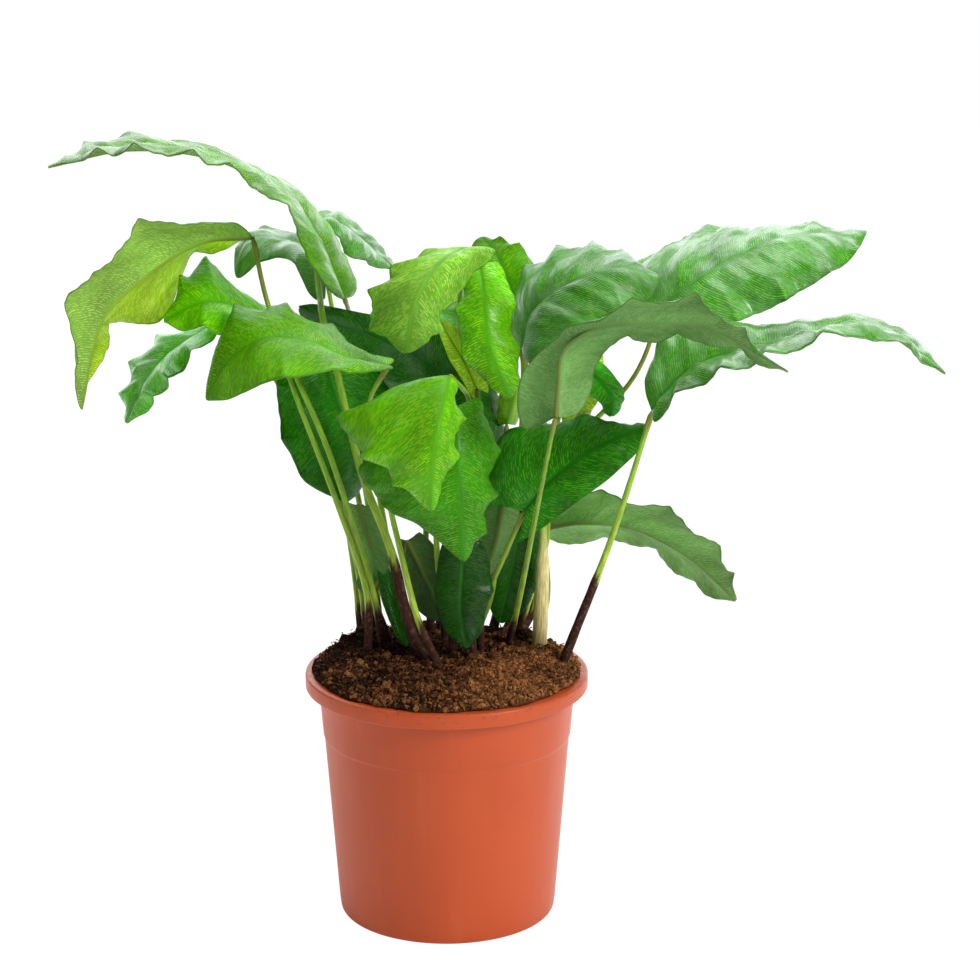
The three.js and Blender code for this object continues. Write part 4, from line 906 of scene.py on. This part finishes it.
def soil_material(name, dark, warm):
    """Crumbly soil, warmer and lighter in random patches, and towards the front right with painted light
    from the key light.
    """
    m, t = new_material(name)
    place = t.node("ShaderNodeTexCoord").outputs["Object"]
    part = t.node("ShaderNodeSeparateXYZ", Vector=place).outputs
    # painted light: lighter and warmer towards the front right, where the key light falls, with random
    # patches besides
    side = t.math("SUBTRACT", part[0], t.times(part[1], 0.9))
    patch = t.noise(place, (34, 34, 34))
    crumb = t.span(t.attribute("crumb"), 0.0, 1.0, -0.35, 0.35)
    warmth_and_painted_light = t.plus(t.span(side, -0.01, 0.11, 0.02, 0.8), t.span(patch, 0.35, 0.65, -0.2, 0.3), crumb)
    fine = t.noise(place, (700, 700, 700), 4.0, 0.7)
    colour = t.shaded(t.mix(warmth_and_painted_light, dark, warm), t.span(fine, 0.3, 0.7, 0.3, 1.5))
    t.finish(t.skin(colour, 0.9, 0.06, fine, 0.8, 0.0006).outputs[0])
    return m


# ------------------------------------------------------------------------------------------------- pot

POT_SEGMENTS = 240
POT_SHARP_ANGLE = 32
DRAIN_COUNT = 6
DRAIN_RADIUS = 4.5
DRAIN_CIRCLE = 46.0
# radius, height and corner rounding, from the middle of the underside round to the middle of the floor
POT_PROFILE = [
    (0.0, 0.0, 0),
    (60.5, 0.0, 1),
    (64.8, 1.6, 3),
    (65.75, 8.0, 1),
    (73.85, 112.0, 0.6),
    (74.55, 113.5, 0.6),
    (76.0, 131.0, 2),
    (77.5, 141.0, 2),
    (78.8, 143.0, 0.7),
    (84.9, 143.0, 1.3),
    (84.9, 152.0, 1.6),
    (76.2, 152.0, 1.2),
    (75.6, 143.0, 1),
    (73.7, 131.0, 1),
    (63.9, 8.0, 2),
    (60.5, 2.4, 2),
    (0.0, 2.4, 0),
]


def rounded(profile, steps=5):
    """The profile with each corner turned through a short arc."""
    out = []
    for i, (r, z, size) in enumerate(profile):
        here = np.array([r, z])
        if size == 0:
            out.append(here)
            continue
        before = np.array(profile[i - 1][:2]) - here
        after = np.array(profile[i + 1][:2]) - here
        reach = min(size, 0.45 * np.linalg.norm(before), 0.45 * np.linalg.norm(after))
        a, b = here + unit(before) * reach, here + unit(after) * reach
        for u in np.linspace(0, 1, steps):
            out.append(a * (1 - u) ** 2 + here * 2 * u * (1 - u) + b * u**2)
    return np.array(out)


def drain_plugs(material):
    """The plugs that cut the drain holes."""
    points, faces = [], []
    for k in range(DRAIN_COUNT):
        angle = FULL_TURN * (k + 0.5) / DRAIN_COUNT
        x, y = DRAIN_CIRCLE * math.cos(angle), DRAIN_CIRCLE * math.sin(angle)
        axis = Curve([[x, y, -4.0], [x, y, 6.0]])
        plug, sides, _ = tube(axis, lambda t, turn: DRAIN_RADIUS + 0 * (t + turn), 32, 2)
        faces += [[len(plug) * k + i for i in face] for face in sides]
        points.append(plug)
    return mesh_object("pot_drains", np.vstack(points), faces, [material])


def pot_object(material):
    """The pot: one thin wall turned about the axis, with its drain holes cut through the floor."""
    line = rounded(POT_PROFILE)
    r, z = line[1:-1, :1], line[1:-1, 1:]
    turn = np.linspace(0, FULL_TURN, POT_SEGMENTS, endpoint=False)
    ring = np.stack([r * np.cos(turn), r * np.sin(turn), z + 0 * turn], -1).reshape(-1, 3)
    points = np.vstack([ring, [[0, 0, line[0][1]], [0, 0, line[-1][1]]]])
    idx = np.arange(len(ring)).reshape(-1, POT_SEGMENTS)
    faces = ring_quads(idx)
    under, inner = len(ring), len(ring) + 1
    for i in range(POT_SEGMENTS):
        j = (i + 1) % POT_SEGMENTS
        faces.append([under, int(idx[0][j]), int(idx[0][i])])
        faces.append([inner, int(idx[-1][i]), int(idx[-1][j])])
    blank = mesh_object("pot_blank", points, faces, [material])
    plugs = drain_plugs(material)
    cut = blank.modifiers.new("drains", "BOOLEAN")
    cut.object = plugs
    cut.operation = "DIFFERENCE"
    cut.solver = "EXACT"
    mesh = read_mesh(blank, "pot_fine")
    mesh.set_sharp_from_angle(angle=math.radians(POT_SHARP_ANGLE))
    bpy.data.objects.remove(blank)
    bpy.data.objects.remove(plugs)
    ob = placed("pot_fine", mesh)
    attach(ob, "root")
    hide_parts("pot")
    return ob


# ------------------------------------------------------------------------------------------------ soil

SOIL_SPILL_RADIUS = 81.5
SOIL_EDGE_HEIGHT = 153.4
SOIL_LOWEST_EDGE = 152.9
SOIL_HEAP = 9.0
SOIL_RINGS, SOIL_SEGMENTS = 60, 200
# x, y, height and width of the clumps round the stalks
SOIL_CLUMPS = [
    (-52, 36, 10, 15),
    (-64, 2, 4, 11),
    (-24, 60, 7, 14),
    (44, 50, 8, 14),
    (12, 66, 6, 13),
    (66, 14, 4, 10),
    (-34, -46, 2.5, 12),
    (30, -30, 2, 14),
]
# radius and height of the soil's body from the rim down into the pot
SOIL_SIDE = [(81.0, 152.3), (74.9, 152.3), (74.9, 143.0), (72.8, 131.0), (63.6, 8.0), (59.2, 2.75)]
# how close together the small bumps are, and how high
SOIL_BUMPS = ((0.35, 0.7), (0.8, 0.55), (1.7, 0.4))


def soil_top(x, y):
    """The soil's surface: a heap with clumps round the stalks, low where it meets the rim."""
    r = np.hypot(x, y) / SOIL_SPILL_RADIUS
    heap = SOIL_HEAP * (1 - r**2.4)
    for cx, cy, height, width in SOIL_CLUMPS:
        far = np.hypot(x - cx, y - cy) / width
        heap = heap + height * np.exp(-far * far) * np.maximum(0, 1 - r**6)
    lumps = 1.5 * np.sin(x * 0.13 + 1) * np.cos(y * 0.11) + 1.1 * np.sin(x * 0.27 - y * 0.21)
    lumps = lumps + 0.9 * np.cos(x * 0.19 + y * 0.33 + 2)
    return SOIL_EDGE_HEIGHT + heap + lumps * np.minimum(1, 2.4 - 2 * r)


def disc(rings, segments, reach):
    """Points over a disc, ring by ring, and the quads between them with a cap in the middle."""
    turn = np.linspace(0, FULL_TURN, segments, endpoint=False)
    r, a = np.meshgrid(np.linspace(0.02, 1, rings) * reach, turn, indexing="ij")
    idx = np.arange(rings * segments).reshape(rings, segments)
    return r * np.cos(a), r * np.sin(a), turn, ring_quads(idx, inward=True) + [idx[0].tolist()]


def soil_base(material):
    """The soil's body under the crumbs: a closed heap that fills the pot and lies over the rim."""
    rng = np.random.default_rng(11)
    x, y, turn, faces = disc(SOIL_RINGS, SOIL_SEGMENTS, SOIL_SPILL_RADIUS)
    z = soil_top(x, y) - 0.5
    for scale, size in SOIL_BUMPS:
        ph = rng.random(4) * 6.28
        z += size * np.sin(x * scale + ph[0]) * np.sin(y * scale + ph[1])
        z += size * 0.6 * np.sin((x + y) * scale * 0.7 + ph[2]) * np.cos((x - y) * scale * 0.9 + ph[3])
    z[-1] = np.maximum(z[-1], SOIL_LOWEST_EDGE)
    # the spilled edge wanders in and out
    edge = 1 - 0.02 * (0.5 + 0.5 * np.sin(turn * 9 + 1)) - 0.014 * (0.5 + 0.5 * np.sin(turn * 23 + 2))
    inward = 1 - (1 - edge)[None, :] * np.linspace(0, 1, SOIL_RINGS)[:, None] ** 6
    points = [np.stack([x * inward, y * inward, z], -1).reshape(-1, 3)]
    for i, (r, height) in enumerate(SOIL_SIDE):
        r = r * edge if i == 0 else r
        points.append(np.stack([r * np.cos(turn), r * np.sin(turn), height + 0 * turn], -1))
    points = np.vstack(points)
    idx = np.arange(len(points)).reshape(-1, SOIL_SEGMENTS)
    faces += ring_quads(idx[SOIL_RINGS - 1 :], inward=True) + [idx[-1][::-1].tolist()]
    crumb = {"crumb": ("FLOAT", np.full(len(points), 0.4))}
    ob = mesh_object("soil_body", points, faces, [material], None, crumb)
    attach(ob, "root")
    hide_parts("soil")
    return ob


BED_RINGS, BED_SEGMENTS = 28, 96
BED_DEPTH = 0.3


def scatter_bed(reach):
    """The patch that crumbs and fibres are spread on. It is only read, and removed afterwards."""
    x, y, _, faces = disc(BED_RINGS, BED_SEGMENTS, reach)
    points = np.stack([x, y, soil_top(x, y) - BED_DEPTH], -1).reshape(-1, 3)
    return mesh_object("soil_bed", points, faces, [])


FLOW_INPUTS = {"Density": "NodeSocketFloat", "Size": "NodeSocketFloat", "Seed": "NodeSocketInt"}
ANY_WAY = 3.1
FIBRE_LEAN = (1.2, 1.85)
# how coarse the noise is that makes a grain uneven, and how far it moves a point, in metres
CRUMB_UNEVEN, FIBRE_UNEVEN = (520.0, 0.0042), (260.0, 0.009)


def random_value(t, kind, low, high, seed):
    n = t.node("FunctionNodeRandomValue", {"data_type": kind}, Seed=seed)
    first = {"FLOAT_VECTOR": 0, "FLOAT": 2}[kind]
    t.feed(n, str(first), low)
    t.feed(n, str(first + 1), high)
    return n.outputs[first // 2]


def grain_shape(t, fibre):
    """A thin straight fibre one unit long, or a small ball."""
    if not fibre:
        return t.node("GeometryNodeMeshIcoSphere", Radius=0.5, Subdivisions=1).outputs[0]
    line = t.node("GeometryNodeCurvePrimitiveLine", End=(0, 0, 1)).outputs[0]
    cut = t.node("GeometryNodeResampleCurve", Curve=line, Count=5).outputs[0]
    ring = t.node("GeometryNodeCurvePrimitiveCircle", Resolution=4, Radius=0.03).outputs[0]
    return t.node("GeometryNodeCurveToMesh", Curve=cut, Profile_Curve=ring, Fill_Caps=True).outputs[0]


def scatter_flow(name, fibre, material):
    """Geometry nodes that spread small crumbs, or short fibres, over a surface."""
    group = bpy.data.node_groups.new(name, "GeometryNodeTree")
    face = group.interface
    face.new_socket("Geometry", in_out="INPUT", socket_type="NodeSocketGeometry")
    ids = {}
    for key, kind in FLOW_INPUTS.items():
        ids[key] = face.new_socket(key, in_out="INPUT", socket_type=kind).identifier
    face.new_socket("Geometry", in_out="OUTPUT", socket_type="NodeSocketGeometry")
    t = Tree(group)
    given = t.node("NodeGroupInput").outputs
    spread = t.node("GeometryNodeDistributePointsOnFaces", {"distribute_method": "RANDOM"})
    for key, source in (("Mesh", "Geometry"), ("Density", "Density"), ("Seed", "Seed")):
        t.feed(spread, key, given[source])
    place = t.node("GeometryNodeInstanceOnPoints", Points=spread.outputs[0], Instance=grain_shape(t, fibre))
    low, high = FIBRE_LEAN if fibre else (-ANY_WAY, ANY_WAY)
    low, high = (low, -ANY_WAY, -ANY_WAY), (high, ANY_WAY, ANY_WAY)
    t.feed(place, "Rotation", random_value(t, "FLOAT_VECTOR", low, high, 3))
    # many small ones and a few large ones
    size = t.math("POWER", random_value(t, "FLOAT", 0.0, 1.0, 5), 2.2)
    t.feed(place, "Scale", t.times(t.plus(t.times(size, 0.75), 0.25), given["Size"]))
    settings = {"data_type": "FLOAT", "domain": "INSTANCE"}
    mark = t.node("GeometryNodeStoreNamedAttribute", settings, Geometry=place.outputs[0], Name="crumb")
    t.feed(mark, "Value", random_value(t, "FLOAT", 0.0, 1.0, 9))
    real = t.node("GeometryNodeRealizeInstances", Geometry=mark.outputs[0])
    coarse, reach = FIBRE_UNEVEN if fibre else CRUMB_UNEVEN
    where = t.node("GeometryNodeInputPosition").outputs[0]
    ripple = t.node("ShaderNodeTexNoise", Vector=where, Scale=coarse).outputs["Color"]
    shift = t.numbered("ShaderNodeVectorMath", {"operation": "SUBTRACT"}, ripple, (0.5, 0.5, 0.5))
    grow = t.node("ShaderNodeVectorMath", {"operation": "SCALE"}, Vector=shift, Scale=reach)
    move = t.node("GeometryNodeSetPosition", Geometry=real.outputs[0], Offset=grow.outputs[0])
    skin = t.node("GeometryNodeSetMaterial", Geometry=move.outputs[0], Material=material)
    t.node("NodeGroupOutput", Geometry=skin.outputs[0])
    return group, ids


def grown(name, bed, flow, density, size, seed):
    """The grains that a flow spreads over the bed, as a plain mesh. Size is in metres."""
    group, ids = flow
    spread = bed.modifiers.new("flow", "NODES")
    spread.node_group = group
    for key, value in (("Density", density), ("Size", size), ("Seed", seed)):
        spread[ids[key]] = value
    mesh = read_mesh(bed, name)
    bed.modifiers.remove(spread)
    ob = placed(name, mesh)
    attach(ob, "root")
    return ob


# ------------------------------------------------------------------------------------------- build it

mosaic = mosaic_group()
blade_faces = {}
for tone, hue in TONES.items():
    title = tone.capitalize() + " blade"
    blade_faces[tone] = [
        blade_material(title + " upper face", mosaic, hue["upper"], hue["dash"], hue["upper"], True),
        blade_material(title + " underside", mosaic, hue["under"], hue["under_dash"], UNDER_RIB, False),
    ]
stalk_skin = stalk_material()
for number, leaf in enumerate(LEAVES):
    upper_face, under_face = blade_faces[leaf["tone"]][:: -1 if leaf["turned"] else 1]
    blade_object(leaf, number, upper_face, under_face)
    stem_object(leaf, number, stalk_skin)

# dark and warm browns of the soil between the crumbs, and of the crumbs; the mix from dark to warm is partly
# painted light
soil_base(soil_material("Potting soil", (0.018, 0.006, 0.003, 1), (0.15, 0.055, 0.020, 1)))
crumb_skin = soil_material("Soil crumbs", (0.022, 0.008, 0.004, 1), (0.32, 0.125, 0.042, 1))
crumb_bed = scatter_bed(SOIL_SPILL_RADIUS - 1.4)
inner_bed = scatter_bed(SOIL_SPILL_RADIUS - 8)
crumbs = scatter_flow("Crumbs", False, crumb_skin)
fibres = scatter_flow("Fibres", True, crumb_skin)
grown("soil_crumbs", crumb_bed, crumbs, 300000.0, 0.0036, 4)
grown("soil_lumps", inner_bed, crumbs, 14000.0, 0.0075, 8)
grown("soil_fibres", inner_bed, fibres, 200000.0, 0.0085, 21)
bpy.data.objects.remove(crumb_bed)
bpy.data.objects.remove(inner_bed)

pot_object(pot_material())

# --------------------------------------------------------------------------------- floor, light, camera

WHITE = (1, 1, 1, 1)
FLOOR_HALF = 14.0
FLOOR_WHITE_SHARE, FLOOR_WHITE = 0.94, 1.06
SKY_LIGHT, SKY_SEEN = 0.19, 1.0


def floor():
    """A plain pale floor. The camera sees mostly its white, with a trace of the shadows on it."""
    mesh = bpy.data.meshes.new("floor")
    h = FLOOR_HALF
    mesh.from_pydata([(-h, -h, 0), (h, -h, 0), (h, h, 0), (-h, h, 0)], [], [(0, 1, 2, 3)])
    m, t = new_material("Pale floor")
    skin = t.node("ShaderNodeBsdfPrincipled", Base_Color=(0.9, 0.9, 0.9, 1), Roughness=0.9)
    t.feed(skin, "Emission Color", WHITE)
    t.feed(skin, "Emission Strength", 0.12)
    white = t.node("ShaderNodeEmission", Strength=FLOOR_WHITE)
    seen = t.times(t.node("ShaderNodeLightPath").outputs["Is Camera Ray"], FLOOR_WHITE_SHARE)
    t.finish(t.blend(seen, skin, white))
    mesh.materials.append(m)
    return placed("floor", mesh)


floor()


def area_light(name, place, target, size, power, colour=(1, 1, 1)):
    data = bpy.data.lights.new(name, "AREA")
    data.shape = "RECTANGLE"
    data.size, data.size_y = size
    data.energy = power
    data.color = colour
    ob = placed(name, data)
    ob.location = place
    ob.rotation_mode = "QUATERNION"
    ob.rotation_quaternion = (Vector(target) - Vector(place)).to_track_quat("-Z", "Y")
    ob.visible_camera = False


COOL, WARM = (0.95, 0.98, 1.0), (1.0, 0.95, 0.95)
area_light("back panel", (0.0, 2.3, 0.85), (0, 0, 0.45), (3.4, 1.9), 50, COOL)
area_light("overhead", (0.1, 0.0, 2.2), (0, 0, 0.3), (1.4, 1.0), 21)
area_light("high back", (0.25, 1.7, 2.0), (0, 0, 0.4), (2.6, 1.3), 34, COOL)
area_light("right front", (1.6, -1.4, 1.5), (0, 0, 0.2), (0.8, 1.1), 55)
area_light("left", (-1.9, 0.2, 1.0), (0, 0, 0.25), (0.6, 1.6), 9, WARM)


def studio():
    """Soft light from all round, and a white background."""
    world = bpy.data.worlds.new("Studio")
    world.use_nodes = True
    world.node_tree.nodes.clear()
    t = Tree(world.node_tree)
    soft_light = t.node("ShaderNodeBackground", Color=WHITE, Strength=SKY_LIGHT)
    backdrop = t.node("ShaderNodeBackground", Color=WHITE, Strength=SKY_SEEN)
    seen = t.node("ShaderNodeLightPath").outputs["Is Camera Ray"]
    t.node("ShaderNodeOutputWorld", Surface=t.blend(seen, soft_light, backdrop))
    return world


SENSOR_WIDTH = 36.0
FRAME_WIDTH, FOCAL_LENGTH = 980, 3213  # both in pixels of the square frame
CAMERA_PLACE = (0.026, -1.836, 0.766)
CAMERA_DOWN = 15.3

camera_data = bpy.data.cameras.new("camera")
camera_data.sensor_fit = "HORIZONTAL"
camera_data.sensor_width = SENSOR_WIDTH
camera_data.lens = SENSOR_WIDTH * FOCAL_LENGTH / FRAME_WIDTH
camera_data.clip_end = 60
camera = placed("camera", camera_data)
camera.location = CAMERA_PLACE
camera.rotation_euler = (math.radians(90 - CAMERA_DOWN), 0, 0)
bpy.context.scene.camera = camera
bpy.context.scene.world = studio()
bpy.context.scene.view_settings.view_transform = "Standard"
bpy.context.scene.view_settings.look = "None"
